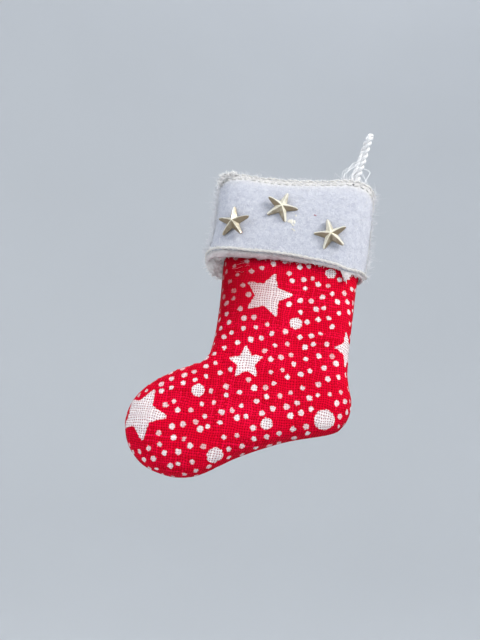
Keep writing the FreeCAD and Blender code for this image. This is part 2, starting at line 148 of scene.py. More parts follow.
# From where, and over what length, the cuff changes towards its heel side and its toe side, and how
# much its back's hem rises on the one and drops on the other.
HEEL_SIDE = (-3.0, 5.3)
TOE_SIDE = (-12.0, 12.0)
BACK_HEM = (1.7, 1.3)
CUFF_FELT = 0.55
CUFF_MIDDLE = -11.1
CUFF_HEIGHT = 15.0
# How far the inner layer shows under the hem along x, and its pointed flap: middle, half width, depth.
LINING_DROP = ((-24.8, 1.1), (-16.0, 1.05), (-9.0, 0.75), (-5.0, 0.35), (2.4, 0.15))
FLAP = (-1.15, 0.85, 1.6)
# How much painted shade, pink as from red light off the cotton, lies on the lining's front along x, from 0
# to 1.
LINING_SHADE = ((-24.8, 0.0), (-21.0, 0.45), (-16.0, 0.9), (-9.0, 0.85), (-5.0, 0.25), (2.4, 0.25))

# Edge cords: height on the cuff, how far off it, how it waves up and down (size, scale, seed), how far
# its two strands lie off its middle, their radius, and the length of one twist.
EDGE_CORDS = (
    ("rim", 0.985, 0.05, ((0.22, 0.6, 9.0), (0.1, 1.8, 4.0)), 0.12, 0.16, 2.3),
    ("hem", 0.008, 0.19, ((0.1, 0.5, 15.0),), 0.09, 0.14, 1.7),
)

# Running stitches: radius, how far their middle stands off the felt, and how far their ends dip in.
STITCH_RADIUS = 0.13
STITCH_LIFT = 0.01
STITCH_DIP = 0.2

# Felt hairs: how many, from which height to which, how far they stand out, which way they lean up
# or down, the longest, and their radius.
FELT_HAIRS = (
    (3600, 0.02, 0.98, 0.2, 0.0, 1.0, 0.018),
    (1900, 0.95, 1.0, 0.5, 0.5, 1.15, 0.042),
    (1400, 0.0, 0.03, 0.6, -0.2, 0.8, 0.036),
)
# More hairs near the heel side and the toe side, given as angles, and those of the lining's pile.
SIDE_HAIRS = ((0.0, 420), (math.pi, 1000))
PILE_HAIRS = 4200
# Long hairs: from which height to which, near which angle or all round, how many.
STRAY_HAIRS = ((0.94, 1.0, None, 40), (0.0, 0.04, None, 24), (0.0, 1.0, 0.0, 26), (0.0, 1.0, math.pi, 20))

# The stuffing's sections from its foot to its top: share of its full width, and height.
STUFFING = ((1.0, -26.0), (1.0, -23.0), (0.9, -21.9), (0.6, -21.3), (0.25, -21.0))
STUFFING_MIDDLE = -9.9
STUFFING_HALF = (10.0, 2.95)

# Marks on the cuff's front: place along x, and height from 0 at the hem to 1 at the rim.
FLECKS = ((-7.1, 0.5), (-18.0, 0.21))
GLUE_RESIDUE = (-10.6, 0.385)
NEEDLE_HOLE = (-1.65, 0.938)
# The cotton's own frayed ends: how many, their length before they bend, their radius.
COTTON_ENDS = 12
COTTON_END_LENGTH = 1.7
COTTON_END_RADIUS = 0.028

# Lumps of pile: middle, radii, hairs.
CORNER_LUMPS = (
    ((-22.3, -2.5, -14.0), (0.55, 0.5, 0.42), 150),
    ((-23.0, -2.3, -14.4), (0.5, 0.5, 0.45), 150),
    ((-23.3, -1.9, -15.1), (0.36, 0.45, 0.45), 120),
    ((-21.3, -2.7, -13.8), (0.55, 0.4, 0.3), 110),
)
PAD_LUMPS = (
    ((-21.3, -1.6, -28.3), (1.3, 1.6, 0.7), 500),
    ((-21.2, 1.4, -28.6), (1.3, 2.0, 0.8), 700),
    ((-20.6, 3.0, -29.0), (1.0, 0.9, 0.7), 300),
    ((-21.9, 0.6, -28.9), (0.9, 1.5, 0.9), 600),
)

# Metal stars on the cuff: x, z, turn, then how far each leans about its own x and z axes, in degrees, and
# its painted light, which scales how bright its ridges and sides are painted.
STARS = (
    ("left", -19.5, -24.1, -5.0, 7.0, -20.0, 0.6),
    ("middle", -12.55, -20.1, 14.0, 6.0, 4.0, 1.2),
    ("right", -4.3, -23.75, -19.0, 7.0, -8.0, 1.1),
)
STAR_REACH = 2.6
STAR_TIP = 0.24
STAR_ARM = 0.76
STAR_TAPER = 0.215
STAR_HEIGHT = 0.95
STAR_BASE = -4.95

# The photographed view: what the camera aims at, how far off it is, and its tilt and roll in degrees.
CAMERA_AIM = (-15.975, 0.0, -38.16)
CAMERA_DISTANCE = 92.3
CAMERA_TILT = 23.1
CAMERA_ROLL = 10.0
CAMERA_LENS = 33.75

# The stage: the floor's height, where it starts to curve up, the curve's radius and the wall's top.
FLOOR_LEVEL = -330.0
FLOOR_REACH = 500.0
FLOOR_CURVE = 300.0
WALL_TOP = 1200.0
# Soft round lamps: place in metres, width in metres, power in watts, colour.
LAMPS = {
    "key": ((0.30, -0.26, 0.22), 0.24, 2.3, (1.0, 0.98, 0.95)),
    "fill": ((-0.35, -0.30, -0.05), 0.40, 0.88, (0.94, 0.97, 1.0)),
    "rim": ((-0.1, 0.35, 0.30), 0.30, 1.3, (1.0, 1.0, 1.0)),
}
LAMP_AIM = (-0.012, 0.0, -0.035)
SURROUND = (0.84, 0.87, 0.92, 1.0)
SURROUND_STRENGTH = 1.41


# -------- camera


def make_camera():
    """A camera below the stocking that looks up at it, rolled so that the toe side drops."""
    tilt = math.radians(CAMERA_TILT)
    roll = math.radians(CAMERA_ROLL)
    right = Vector((math.cos(roll), 0, math.sin(roll)))
    across = Vector((-math.sin(roll), 0, math.cos(roll)))
    ahead = Vector((0, 1, 0)) * math.cos(tilt) + across * math.sin(tilt)
    up = right.cross(ahead)
    place = (Vector(CAMERA_AIM) - ahead * CAMERA_DISTANCE) * MM
    data = bpy.data.cameras.new("camera")
    data.lens = CAMERA_LENS
    data.clip_start = 0.005
    data.clip_end = 20.0
    camera = bpy.data.objects.new("camera", data)
    turn = Matrix((right, up, -ahead)).transposed().to_4x4()
    camera.matrix_world = Matrix.Translation(place) @ turn
    bpy.context.scene.collection.objects.link(camera)
    bpy.context.scene.camera = camera


# -------- mesh helpers


def add_object(name, verts, faces, material):
    """A smooth-shaded mesh object from millimetre points."""
    mesh = bpy.data.meshes.new(name)
    scaled = (np.asarray(verts, float) * MM).tolist()
    mesh.from_pydata(scaled, [], [tuple(int(i) for i in f) for f in faces])
    mesh.validate()
    mesh.shade_smooth()
    mesh.materials.append(material)
    piece = bpy.data.objects.new(name, mesh)
    bpy.context.scene.collection.objects.link(piece)
    return piece


def add_vectors(piece, name, values):
    """A vector on every point of a mesh, which its material can read."""
    attribute = piece.data.attributes.new(name, "FLOAT_VECTOR", "POINT")
    attribute.data.foreach_set("vector", np.asarray(values, np.float32).ravel())


def add_share(piece, name, shares):
    """One number on every point of a mesh, which its material can read."""
    add_vectors(piece, name, np.outer(shares, (1.0, 0.0, 0.0)))


def finish_piece(piece, slot, *nodes):
    """Rides on the stocking and stands for CAD nodes, which it hides. The slot is not used."""
    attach(piece, "stocking")
    if nodes:
        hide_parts(*nodes)


def thicken(piece, name, thickness, offset=-1.0):
    """Gives a sheet its thickness, inwards or, with offset 0, to both sides."""
    solid = piece.modifiers.new(name, "SOLIDIFY")
    solid.thickness = thickness * MM
    solid.offset = offset


def unit(vectors):
    """The vectors, each divided by its length."""
    return vectors / np.maximum(np.linalg.norm(vectors, axis=-1, keepdims=True), 1e-9)


def run_along(line):
    """Distance along a line at each of its points."""
    return np.concatenate([[0], np.cumsum(np.linalg.norm(np.diff(line, axis=0), axis=1))])


def smooth_line(points, step):
    """A smooth line through the points (Catmull-Rom), divided about step apart."""
    p = np.asarray(points, float)
    p = np.concatenate([[2 * p[0] - p[1]], p, [2 * p[-1] - p[-2]]])
    out = []
    for a, b, c, d in zip(p[:-3], p[1:-2], p[2:-1], p[3:]):
        count = max(1, round(float(np.linalg.norm(c - b)) / step))
        t = (np.arange(count) / count)[:, None]
        bend = 2 * a - 5 * b + 4 * c - d
        twist = 3 * (b - c) + d - a
        out.append(b + 0.5 * (t * (c - a) + t**2 * bend + t**3 * twist))
    return np.concatenate([*out, p[-2:-1]])


def wave(points, scale, seed):
    """Smooth noise from -1 to 1 at each point."""
    return np.array([noise.noise(Vector(p) * scale + Vector((seed, 0, -seed))) for p in points])


def carried_frames(line, closed=False):
    """Two directions across a line at each of its points, carried along it without twisting."""
    if closed:
        ahead = np.roll(line, -1, 0) - np.roll(line, 1, 0)
    else:
        ahead = np.gradient(line, axis=0)
    ahead = unit(ahead)
    start = np.cross(ahead[0], UP)
    if np.linalg.norm(start) < 0.2:
        start = np.cross(ahead[0], (1.0, 0.0, 0.0))
    sides = [unit(start)]
    for direction in ahead[1:]:
        sides.append(unit(sides[-1] - direction * (sides[-1] @ direction)))
    sides = np.array(sides)
    return sides, np.cross(ahead, sides)


def ring_faces(rows, columns, start=0, closed=False):
    """Quads between rows of points, closed round each row and, if told so, from the last to the first."""
    faces = []
    for i in range(rows if closed else rows - 1):
        low = start + i * columns
        high = start + (i + 1) % rows * columns
        for k in range(columns):
            n = (k + 1) % columns
            faces.append((low + k, low + n, high + n, high + k))
    return faces


def end_faces(rows, columns):
    """The two faces that close a tube's ends."""
    return [tuple(reversed(range(columns))), tuple(range((rows - 1) * columns, rows * columns))]


def unit_ball():
    """Points and faces of a ball of radius 1."""
    mesh = bmesh.new()
    bmesh.ops.create_icosphere(mesh, subdivisions=4, radius=1.0)
    verts = np.array([v.co for v in mesh.verts])
    faces = [tuple(v.index for v in f.verts) for f in mesh.faces]
    mesh.free()
    return verts, faces


def merge(parts):
    """One set of points and faces from several, whose faces may have any number of corners."""
    verts, faces, start = [], [], 0
    for v, f in parts:
        verts.append(v)
        faces += [tuple(int(i) + start for i in face) for face in f]
        start += len(v)
    return np.concatenate(verts), faces


def circle(side, over, around):
    """Points of a circle of radius 1, once for each pair of directions across a line."""
    angle = np.arange(around) * 2 * math.pi / around
    return np.cos(angle)[None, :, None] * side[:, None] + np.sin(angle)[None, :, None] * over[:, None]


def sweep(line, radius, around, closed=False, cap=True):
    """Tube points, faces and a yarn coordinate (millimetres along, turns around, 0)."""
    side, over = carried_frames(line, closed)
    count = len(line)
    thick = np.broadcast_to(np.asarray(radius, float), (count,))
    verts = (line[:, None] + circle(side, over, around) * thick[:, None, None]).reshape(-1, 3)
    yarn = np.zeros((count, around, 3))
    yarn[..., 0] = run_along(line)[:, None]
    yarn[..., 1] = np.abs(np.arange(around) * 2 / around - 1)[None]
    faces = ring_faces(count, around, closed=closed)
    if cap and not closed:
        faces += end_faces(count, around)
    return verts, faces, yarn.reshape(-1, 3)


def join_parts(parts):
    """One mesh's points, faces and coordinates from several."""
    verts, faces = merge([part[:2] for part in parts])
    return verts, faces, np.concatenate([coords for _, _, coords in parts])


def twisted(line, offset, strand, count, pitch, closed=False, around=8):
    """Strands that wind round a line, each a tube."""
    side, over = carried_frames(line, closed)
    along = run_along(line)
    whole = along[-1] + (np.linalg.norm(line[-1] - line[0]) if closed else 0)
    turns = max(1, round(whole / pitch)) if closed else whole / pitch
    parts = []
    for k in range(count):
        angle = 2 * math.pi * (along / whole * turns + k / count)
        path = line + offset * (np.cos(angle)[:, None] * side + np.sin(angle)[:, None] * over)
        verts, faces, yarn = sweep(path, strand, around, closed)
        yarn[:, 2] = k
        parts.append((verts, faces, yarn))
    return join_parts(parts)


def yarn_object(name, parts, material):
    """One mesh of yarn tubes, with the coordinate their material reads."""
    verts, faces, yarn = join_parts(parts)
    piece = add_object(name, verts, faces, material)
    add_vectors(piece, "yarn", yarn)
    return piece


def add_thread(name, parts, material, *nodes):
    """A piece of sewing thread on the stocking."""
    finish_piece(yarn_object(name, parts, material), "sewing_thread", *nodes)


# -------- material helpers


class Graph:
    """Adds and links the nodes of one material or node group."""

    def __init__(self, tree):
        self.tree = tree
        tree.nodes.clear()

    def add(self, kind, inputs=(), **settings):
        """A node with its settings, and its inputs by name or number."""
        node = self.tree.nodes.new(kind)
        for key, value in settings.items():
            setattr(node, key, value)
        for key, value in dict(inputs).items():
            self.put(node.inputs[key], value)
        return node

    def put(self, socket, value):
        """Links a socket, or sets its value."""
        if isinstance(value, bpy.types.NodeSocket):
            self.tree.links.new(value, socket)
        else:
            socket.default_value = value

    def math(self, operation, *values, clamp=False):
        """Arithmetic on numbers or sockets."""
        node = self.add("ShaderNodeMath", dict(enumerate(values)), operation=operation, use_clamp=clamp)
        return node.outputs[0]

    def plus(self, first, second):
        return self.math("ADD", first, second)

    def minus(self, first, second):
        return self.math("SUBTRACT", first, second)

    def times(self, first, second):
        return self.math("MULTIPLY", first, second)

    def vector(self, operation, *values):
        """Arithmetic on vectors: a number for LENGTH, and a vector otherwise."""
        node = self.add("ShaderNodeVectorMath", dict(enumerate(values)), operation=operation)
        return node.outputs["Value" if operation == "LENGTH" else "Vector"]

    def step(self, value, low, high):
        """From 0 at low to 1 at high, smoothly."""
        node = self.add(
            "ShaderNodeMapRange",
            {"Value": value, "From Min": low, "From Max": high},
            interpolation_type="SMOOTHSTEP",
        )
        return node.outputs[0]

    def between(self, value, low, high):
        """A value from 0 to 1 spread from low to high."""
        node = self.add("ShaderNodeMapRange", {"Value": value, "To Min": low, "To Max": high})
        return node.outputs[0]

    def mix(self, share, first, second):
        """A colour between two colours."""
        node = self.add("ShaderNodeMix", data_type="RGBA")
        self.put(node.inputs[0], share)
        self.put(node.inputs[6], first)
        self.put(node.inputs[7], second)
        return node.outputs[2]

    def noise(self, place, scale, detail=3.0, roughness=0.5, distortion=0.0):
        """Smooth noise, about 0.5 on average."""
        looks = {"Scale": scale, "Detail": detail, "Roughness": roughness, "Distortion": distortion}
        return self.add("ShaderNodeTexNoise", {"Vector": place, **looks}).outputs[0]

    def drift(self, place, scale):
        """Three slow noises at once, each from -0.5 to 0.5."""
        node = self.add("ShaderNodeTexNoise", {"Vector": place, "Scale": scale, "Detail": 2.0})
        return self.vector("SUBTRACT", node.outputs["Color"], (0.5, 0.5, 0.5))

    def attribute(self, name):
        """A vector that the mesh carries on its points."""
        return self.add("ShaderNodeAttribute", attribute_name=name).outputs["Vector"]

    def split(self, vector):
        """The three parts of a vector."""
        return self.add("ShaderNodeSeparateXYZ", {0: vector}).outputs

    def turn(self, vector, angle):
        """A place on the cloth, turned about its origin."""
        return self.add("ShaderNodeVectorRotate", {"Vector": vector, "Angle": angle}).outputs[0]

    def shade(self, name, value):
        """Links an input of the material's shader, or sets it."""
        self.put(self.shader.inputs[name], value)

    def millimetres(self):
        """The piece's own coordinates, in millimetres."""
        place = self.add("ShaderNodeTexCoord").outputs["Object"]
        return self.vector("MULTIPLY", place, (1000.0, 1000.0, 1000.0))

    def bump(self, height, distance, strength=1.0):
        """Relief of a height from 0 to 1 that stands a distance in metres."""
        node = self.add("ShaderNodeBump", {"Height": height, "Distance": distance, "Strength": strength})
        self.shade("Normal", node.outputs[0])


def rgb(red, green, blue):
    """A colour given as the eye sees it, from 0 to 255, for a shader."""
    channels = [c / 255 for c in (red, green, blue)]
    linear = [c / 12.92 if c <= 0.04045 else ((c + 0.055) / 1.055) ** 2.4 for c in channels]
    return (*linear, 1.0)


def new_material(name, **settings):
    """A material with one Principled shader, and the graph that it grows from."""
    material = bpy.data.materials.new(name)
    material.use_nodes = True
    graph = Graph(material.node_tree)
    graph.shader = graph.add("ShaderNodeBsdfPrincipled")
    output = graph.add("ShaderNodeOutputMaterial")
    graph.put(output.inputs[0], graph.shader.outputs[0])
    for key, value in settings.items():
        graph.shader.inputs[key.replace("_", " ")].default_value = value
    return material, graph


# -------- materials


def star_group():
    """A node group: how far a point on the cloth is outside a printed star, negative inside it."""
    tree = bpy.data.node_groups.new("printed_star", "ShaderNodeTree")
    for name, kind in (("Place", "Vector"), ("Centre", "Vector"), ("Reach", "Float"), ("Turn", "Float")):
        tree.interface.new_socket(name, in_out="INPUT", socket_type="NodeSocket" + kind)
    tree.interface.new_socket("Distance", in_out="OUTPUT", socket_type="NodeSocketFloat")
    g = Graph(tree)
    inputs = g.add("NodeGroupInput").outputs
    offset = g.vector("SUBTRACT", inputs["Place"], inputs["Centre"])
    parts = g.split(offset)
    far = g.vector("LENGTH", offset)
    angle = g.minus(g.math("ARCTAN2", parts[1], parts[0]), inputs["Turn"])
    fifth = 2 * math.pi / 5
    folded = g.math("PINGPONG", angle, fifth / 2)
    waist = 0.49
    normal = Vector((waist * math.sin(fifth / 2), 1 - waist * math.cos(fifth / 2))).normalized()
    ahead = g.minus(g.times(far, g.math("COSINE", folded)), inputs["Reach"])
    aside = g.times(far, g.math("SINE", folded))
    total = g.plus(g.times(ahead, normal.x), g.times(aside, normal.y))
    blunt = g.minus(far, g.times(inputs["Reach"], 0.93))
    output = g.add("NodeGroupOutput")
    g.put(output.inputs[0], g.math("MAXIMUM", total, blunt))
    return tree


def nearest_mark(g, group, place, stars, dots):
    """How far a place on the cloth is from the nearest printed star or large dot."""
    nearest = None
    for x, z, reach, turn in stars:
        node = g.add("ShaderNodeGroup", node_tree=group)
        g.put(node.inputs["Place"], place)
        node.inputs["Centre"].default_value = (x, z, 0.0)
        node.inputs["Reach"].default_value = reach
        node.inputs["Turn"].default_value = math.radians(turn)
        far = node.outputs[0]
        nearest = far if nearest is None else g.math("MINIMUM", nearest, far)
    for x, z, radius in dots:
        far = g.vector("LENGTH", g.vector("SUBTRACT", place, (x, z, 0.0)))
        nearest = g.math("MINIMUM", nearest, g.minus(far, radius))
    return nearest


def plain_weave(g, place, pitch):
    """(height from 0 to 1, a shade that differs from thread to thread) of a plain weave."""
    parts = g.split(place)
    across = g.math("DIVIDE", parts[0], pitch)
    up = g.math("DIVIDE", parts[1], pitch)
    wave_a = g.math("SINE", g.times(across, math.pi))
    wave_b = g.math("SINE", g.times(up, math.pi))
    heights = []
    for own, other, lift in ((wave_a, wave_b, 0.4), (wave_b, wave_a, -0.4)):
        round_part = g.times(g.math("ABSOLUTE", own), 0.6)
        crossing = g.times(g.times(g.math("SIGN", own), other), lift)
        heights.append(g.plus(round_part, crossing))
    height = g.math("MAXIMUM", *heights, clamp=True)
    warp = g.add("ShaderNodeTexWhiteNoise", {"W": g.math("FLOOR", across)}, noise_dimensions="1D").outputs[0]
    shifted = g.plus(g.math("FLOOR", up), 0.5)
    weft = g.add("ShaderNodeTexWhiteNoise", {"W": shifted}, noise_dimensions="1D").outputs[0]
    on_top = g.math("GREATER_THAN", *heights)
    shade = g.math(
        "ADD",
        g.times(warp, on_top),
        g.times(weft, g.minus(1.0, on_top)),
    )
    return height, shade


def small_dots(g, group, place, slant, stars, dots):
    """Ink of the small dots, from 0 to 1: one in each cell, uneven in size and strength.

    Dots whose middle is on or near a star or a large dot are left out."""
    cells = g.add(
        "ShaderNodeTexVoronoi",
        {"Vector": g.turn(place, slant), "Scale": 1 / DOT_SPACING, "Randomness": DOT_SCATTER},
        voronoi_dimensions="2D",
    ).outputs
    centre = g.turn(cells["Position"], -slant)
    lot = g.add("ShaderNodeSeparateColor", {0: cells["Color"]}).outputs
    radius = g.times(g.between(lot[0], 0.8, 1.12), DOT_RADIUS / DOT_SPACING)
    past_rim = g.minus(cells["Distance"], radius)
    dot = g.minus(1.0, g.step(past_rim, -0.045, 0.045))
    clear = g.math("GREATER_THAN", nearest_mark(g, group, centre, stars, dots), DOT_CLEARANCE)
    strength = g.between(g.math("POWER", lot[1], 0.3), 0.35, 1.0)
    return g.times(g.times(dot, clear), strength)


def printed_cotton(name, stars, dots, group, turn):
    """Red plain-weave cotton with a worn silvery print of stars and dots, painted shade in the weave's gaps,
    and painted shade below the cuff on the toe side.
    """
    material, g = new_material(name, Roughness=0.85, Specular_IOR_Level=0.05)
    cloth = g.attribute("fabric")
    bent = g.vector("ADD", cloth, g.drift(cloth, 0.35))
    height, shade = plain_weave(g, g.turn(bent, math.radians(turn)), THREAD_PITCH)

    jitter = g.vector("MULTIPLY", g.drift(cloth, 2.6), (0.5, 0.5, 0.0))
    printed_at = g.vector("ADD", cloth, jitter)
    mark = g.minus(1.0, g.step(nearest_mark(g, group, printed_at, stars, dots), -0.08, 0.08))
    dot = small_dots(g, group, printed_at, math.radians(turn * 9), stars, dots)
    ink = g.math("MAXIMUM", mark, dot)
    worn = g.noise(cloth, 1.3, 4.0, 0.6)
    hold = g.plus(g.times(height, 1.1), g.between(worn, 0.05, 0.55))
    thick_ink = g.plus(hold, g.times(dot, 0.55))
    coverage = g.times(ink, g.step(thick_ink, 0.4, 0.95))

    patches = g.noise(cloth, 0.22, 3.0)
    thread = g.mix(shade, rgb(192, 0, 28), rgb(242, 8, 60))
    red = g.mix(g.step(patches, 0.35, 0.75), thread, rgb(220, 0, 40))
    # Painted shade: the weave's gaps are darker than the threads' crowns.
    red = g.mix(g.step(height, 0.76, 0.08), red, rgb(120, 0, 16))
    silver = g.mix(shade, rgb(218, 206, 208), rgb(246, 238, 236))
    hole = g.times(g.step(height, 0.66, 0.12), g.between(dot, 1.0, 0.35))
    silver = g.mix(hole, silver, rgb(158, 116, 126))
    # Painted shade: the red darkens towards the place below the cuff on the toe side.
    from_shade_centre = g.vector("LENGTH", g.vector("SUBTRACT", cloth, PAINTED_SHADE_CENTRE))
    deep = g.times(g.step(from_shade_centre, 12.0, 1.0), 0.8)
    g.shade("Base Color", g.mix(deep, g.mix(coverage, red, silver), rgb(140, 0, 18)))
    relief = g.plus(height, g.times(g.noise(cloth, 9.0, 2.0), 0.35))
    g.bump(relief, 0.00009, 0.8)
    g.shade("Roughness", g.minus(0.86, g.times(coverage, 0.3)))
    return material


def edge_tint(g, colour, tint):
    """The colour, turned towards a tint as far as the piece's edge attribute says: the cream rim on the
    cuff, and painted shade on the lining and its pile.
    """
    return g.mix(g.split(g.attribute("edge"))[0], colour, tint)


def felt(name, light, dark, edge, depth=0.00012):
    """Matted fibre: soft mottling, short crossing hairs and a broad sheen."""
    sheen = {"Sheen_Weight": 0.35, "Sheen_Roughness": 0.6}
    material, g = new_material(name, Roughness=0.95, Specular_IOR_Level=0.15, **sheen)
    place = g.millimetres()
    mottled = g.noise(place, 1.3, 5.0, 0.7)
    hairs = g.noise(place, 4.0, 6.0, 0.8, 1.2)
    pits = g.noise(place, 7.0, 3.0, 0.6, 0.6)
    tone = g.plus(g.times(mottled, 0.35), g.times(hairs, 0.65))
    g.shade("Base Color", edge_tint(g, g.mix(g.step(tone, 0.36, 0.64), dark, light), edge))
    relief = g.plus(hairs, g.times(pits, 0.6))
    g.bump(relief, depth)
    return material


def fibre(name, colour, tint, edge):
    """Single hairs with a weak sheen, whose colour drifts between two."""
    material, g = new_material(name, Roughness=0.75, Sheen_Weight=0.2)
    drift = g.mix(g.noise(g.millimetres(), 0.8, 2.0), colour, tint)
    g.shade("Base Color", edge_tint(g, drift, edge))
    return material


def yarn_thread(name, light, dark, shine=0.0, roughness=0.7, plies=5.0, lay=1.6):
    """Spun yarn: its plies run round it at a slant, with painted shade in the gaps between their crowns."""
    material, g = new_material(name, Roughness=roughness, Metallic=shine, Sheen_Weight=0.15)
    parts = g.split(g.attribute("yarn"))
    slanted = g.plus(g.times(parts[0], lay), g.times(parts[1], plies))
    ply = g.math("ABSOLUTE", g.math("SINE", g.times(slanted, math.pi)))
    fuzz = g.noise(g.millimetres(), 6.0, 3.0, 0.6)
    height = g.plus(ply, g.times(fuzz, 0.7))
    # Painted shade: the gaps between the plies are darker.
    tone = g.plus(g.times(ply, 0.65), g.times(fuzz, 0.5))
    g.shade("Base Color", g.mix(g.step(tone, 0.15, 0.8), dark, light))
    g.bump(height, 0.00007)
    return material


def pressed_metal():
    """Champagne-coloured pressed metal with soft patches, darker where the worn attribute is low: painted
    shade on the stars' sides.
    """
    material, g = new_material("pressed_metal", Metallic=0.45)
    place = g.millimetres()
    worn = g.split(g.attribute("worn"))[0]
    patches = g.between(g.noise(place, 1.4, 4.0, 0.6), -0.35, 0.35)
    # Painted light and shade from the worn attribute, with random patches.
    bright = g.step(g.plus(worn, patches), 0.05, 0.8)
    g.shade("Base Color", g.mix(bright, rgb(142, 127, 104), rgb(255, 250, 230)))
    g.shade("Roughness", g.between(g.noise(place, 2.5, 3.0), 0.26, 0.42))
    g.bump(g.noise(place, 3.0, 3.0), 0.00005, 0.6)
    return material


def clear_glue():
    """Half-clear glue with an uneven skin."""
    material, g = new_material("clear_glue", Roughness=0.18, Transmission_Weight=0.55, IOR=1.46)
    g.shade("Base Color", rgb(236, 232, 226))
    g.bump(g.noise(g.millimetres(), 2.0, 3.0), 0.0001)
    return material


def fibre_wad():
    """Loose white stuffing."""
    material, g = new_material("fibre_wad", Roughness=1.0, Sheen_Weight=0.4)
    place = g.millimetres()
    clumps = g.noise(place, 0.8, 6.0, 0.7, 1.2)
    white = g.mix(g.step(clumps, 0.3, 0.65), rgb(196, 196, 200), rgb(240, 240, 242))
    g.shade("Base Color", white)
    g.bump(g.noise(place, 2.5, 6.0, 0.75, 2.0), 0.0004)
    return material


# -------- hanging loop


def loop_route():
    """Points along the cord's route: a smooth NURBS line with the route as its control points."""
    route = FRONT_END + (FRONT_PIVOT,) + EYE + (BACK_PIVOT,) + BACK_END
    data = bpy.data.curves.new("loop_route", "CURVE")
    data.dimensions = "3D"
    data.resolution_u = 16
    spline = data.splines.new("NURBS")
    spline.points.add(len(route) - 1)
    for point, place in zip(spline.points, route):
        point.co = (*(c * MM for c in place), 1.0)
    spline.order_u = 3
    spline.use_endpoint_u = True
    holder = bpy.data.objects.new("loop_route", data)
    mesh = bpy.data.meshes.new_from_object(holder)
    line = np.array([v.co for v in mesh.vertices]) / MM
    bpy.data.meshes.remove(mesh)
    bpy.data.objects.remove(holder)
    bpy.data.curves.remove(data)
    return line


def bend_with_loop(piece):
    """Bakes the piece's placement into its mesh."""
    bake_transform(piece)


def make_loop(material):
    """The loop's twisted strands, which stand for the CAD cord and its root."""
    line = loop_route()
    strands = twisted(line, LOOP_OFFSET, LOOP_STRAND, 2, LOOP_TWIST, around=12)
    piece = yarn_object("hanging_cord", [strands], material)
    bend_with_loop(piece)
    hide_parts("loop_cord", "loop_root")


# -------- padded leg


def inside(points, outline):
    """Which points lie inside a closed outline."""
    found = np.zeros(len(points), bool)
    for (x1, z1), (x2, z2) in zip(outline, np.roll(outline, -1, 0)):
        crosses = (z1 > points[:, 1]) != (z2 > points[:, 1])
        level = z1 if z1 == z2 else z2
        slope = (x2 - x1) / ((z2 - z1) if z1 != z2 else 1.0)
        found ^= crosses & (points[:, 0] < x2 + (points[:, 1] - level) * slope)
    return found


def panel_points(outline, spacing):
    """Triangles over the flat panel: the outline's own points, then an even field of points."""
    low, high = outline.min(0), outline.max(0)
    rows = np.arange(low[1] + spacing / 2, high[1], spacing * math.sqrt(3) / 2)
    field = []
    for i, z in enumerate(rows):
        xs = np.arange(low[0] + (i % 2) * spacing / 2, high[0], spacing)
        field.append(np.stack([xs, np.full(len(xs), z)], axis=1))
    field = np.concatenate(field)
    field = field[inside(field, outline)]
    gap = np.linalg.norm(field[:, None] - outline[None], axis=2).min(1)
    field = field[gap > spacing * 0.6]
    points = np.concatenate([outline, field])
    count = len(outline)
    rim = [(i, (i + 1) % count) for i in range(count)]
    found = geometry.delaunay_2d_cdt([Vector(p) for p in points], rim, [], 1, 1e-6)
    triangles = np.array(found[2])
    return np.array([tuple(v) for v in found[0]]), triangles


def swell(points, triangles, held):
    """Height of a membrane blown up over the panel and held at its seam, by conjugate gradients."""
    a, b, c = (points[triangles[:, i]] for i in range(3))
    area = np.abs((b - a)[:, 0] * (c - a)[:, 1] - (b - a)[:, 1] * (c - a)[:, 0]) / 2
    first, second, weight = [], [], []
    for i, j, k in ((0, 1, 2), (1, 2, 0), (2, 0, 1)):
        p, q, r = (points[triangles[:, n]] for n in (i, j, k))
        first.append(triangles[:, i])
        second.append(triangles[:, j])
        weight.append(((p - r) * (q - r)).sum(1) / (4 * area))
    first, second, weight = (np.concatenate(x) for x in (first, second, weight))
    count = len(points)
    load = np.bincount(triangles.ravel(), np.repeat(area / 3, 3), count)
    free = ~held

    def pull(u):
        flow = weight * (u[first] - u[second])
        return (np.bincount(first, flow, count) - np.bincount(second, flow, count)) * free

    u = np.zeros(count)
    left = load * free
    way = left.copy()
    for _ in range(400):
        pulled = pull(way)
        share = (left @ left) / (way @ pulled)
        u += share * way
        after = left - share * pulled
        if after @ after < 1e-12 * (load @ load):
            break
        way = after + way * (after @ after) / (left @ left)
        left = after
    return u


def seam_lines(outline):
    """Outward direction at each of the outline's points, and the distance along it."""
    ahead = unit(np.gradient(outline, axis=0))
    outward = np.stack([-ahead[:, 1], ahead[:, 0]], axis=1)
    middle = len(outline) // 2
    if inside(outline[middle][None] + outward[middle] * 0.2, outline)[0]:
        outward = -outward
    return outward, run_along(outline)


def creases(x, z, side):
    """The folds at the ankle, and the wad's lumps under the cotton."""
    flat = np.stack([x, np.full(len(x), 7.0 * side), z], axis=1)
    lumps = 0.28 * wave(flat, 0.11, 3.0) + 0.1 * wave(flat, 0.3, 8.0)
    dx, dz = x - ANKLE[0], z - ANKLE[1]
    far = np.hypot(dx, dz)
    angle = np.degrees(np.arctan2(dz, dx))
    folds = np.zeros(len(x))
    for heading, width, reach, depth in FOLDS:
        bend = 5.0 * np.sin(far * 0.5)
        folds -= depth * np.exp(-(((angle - heading - bend) / width) ** 2) - (far / reach) ** 2)
    return lumps + folds * np.clip(far / 2.0, 0, 1)


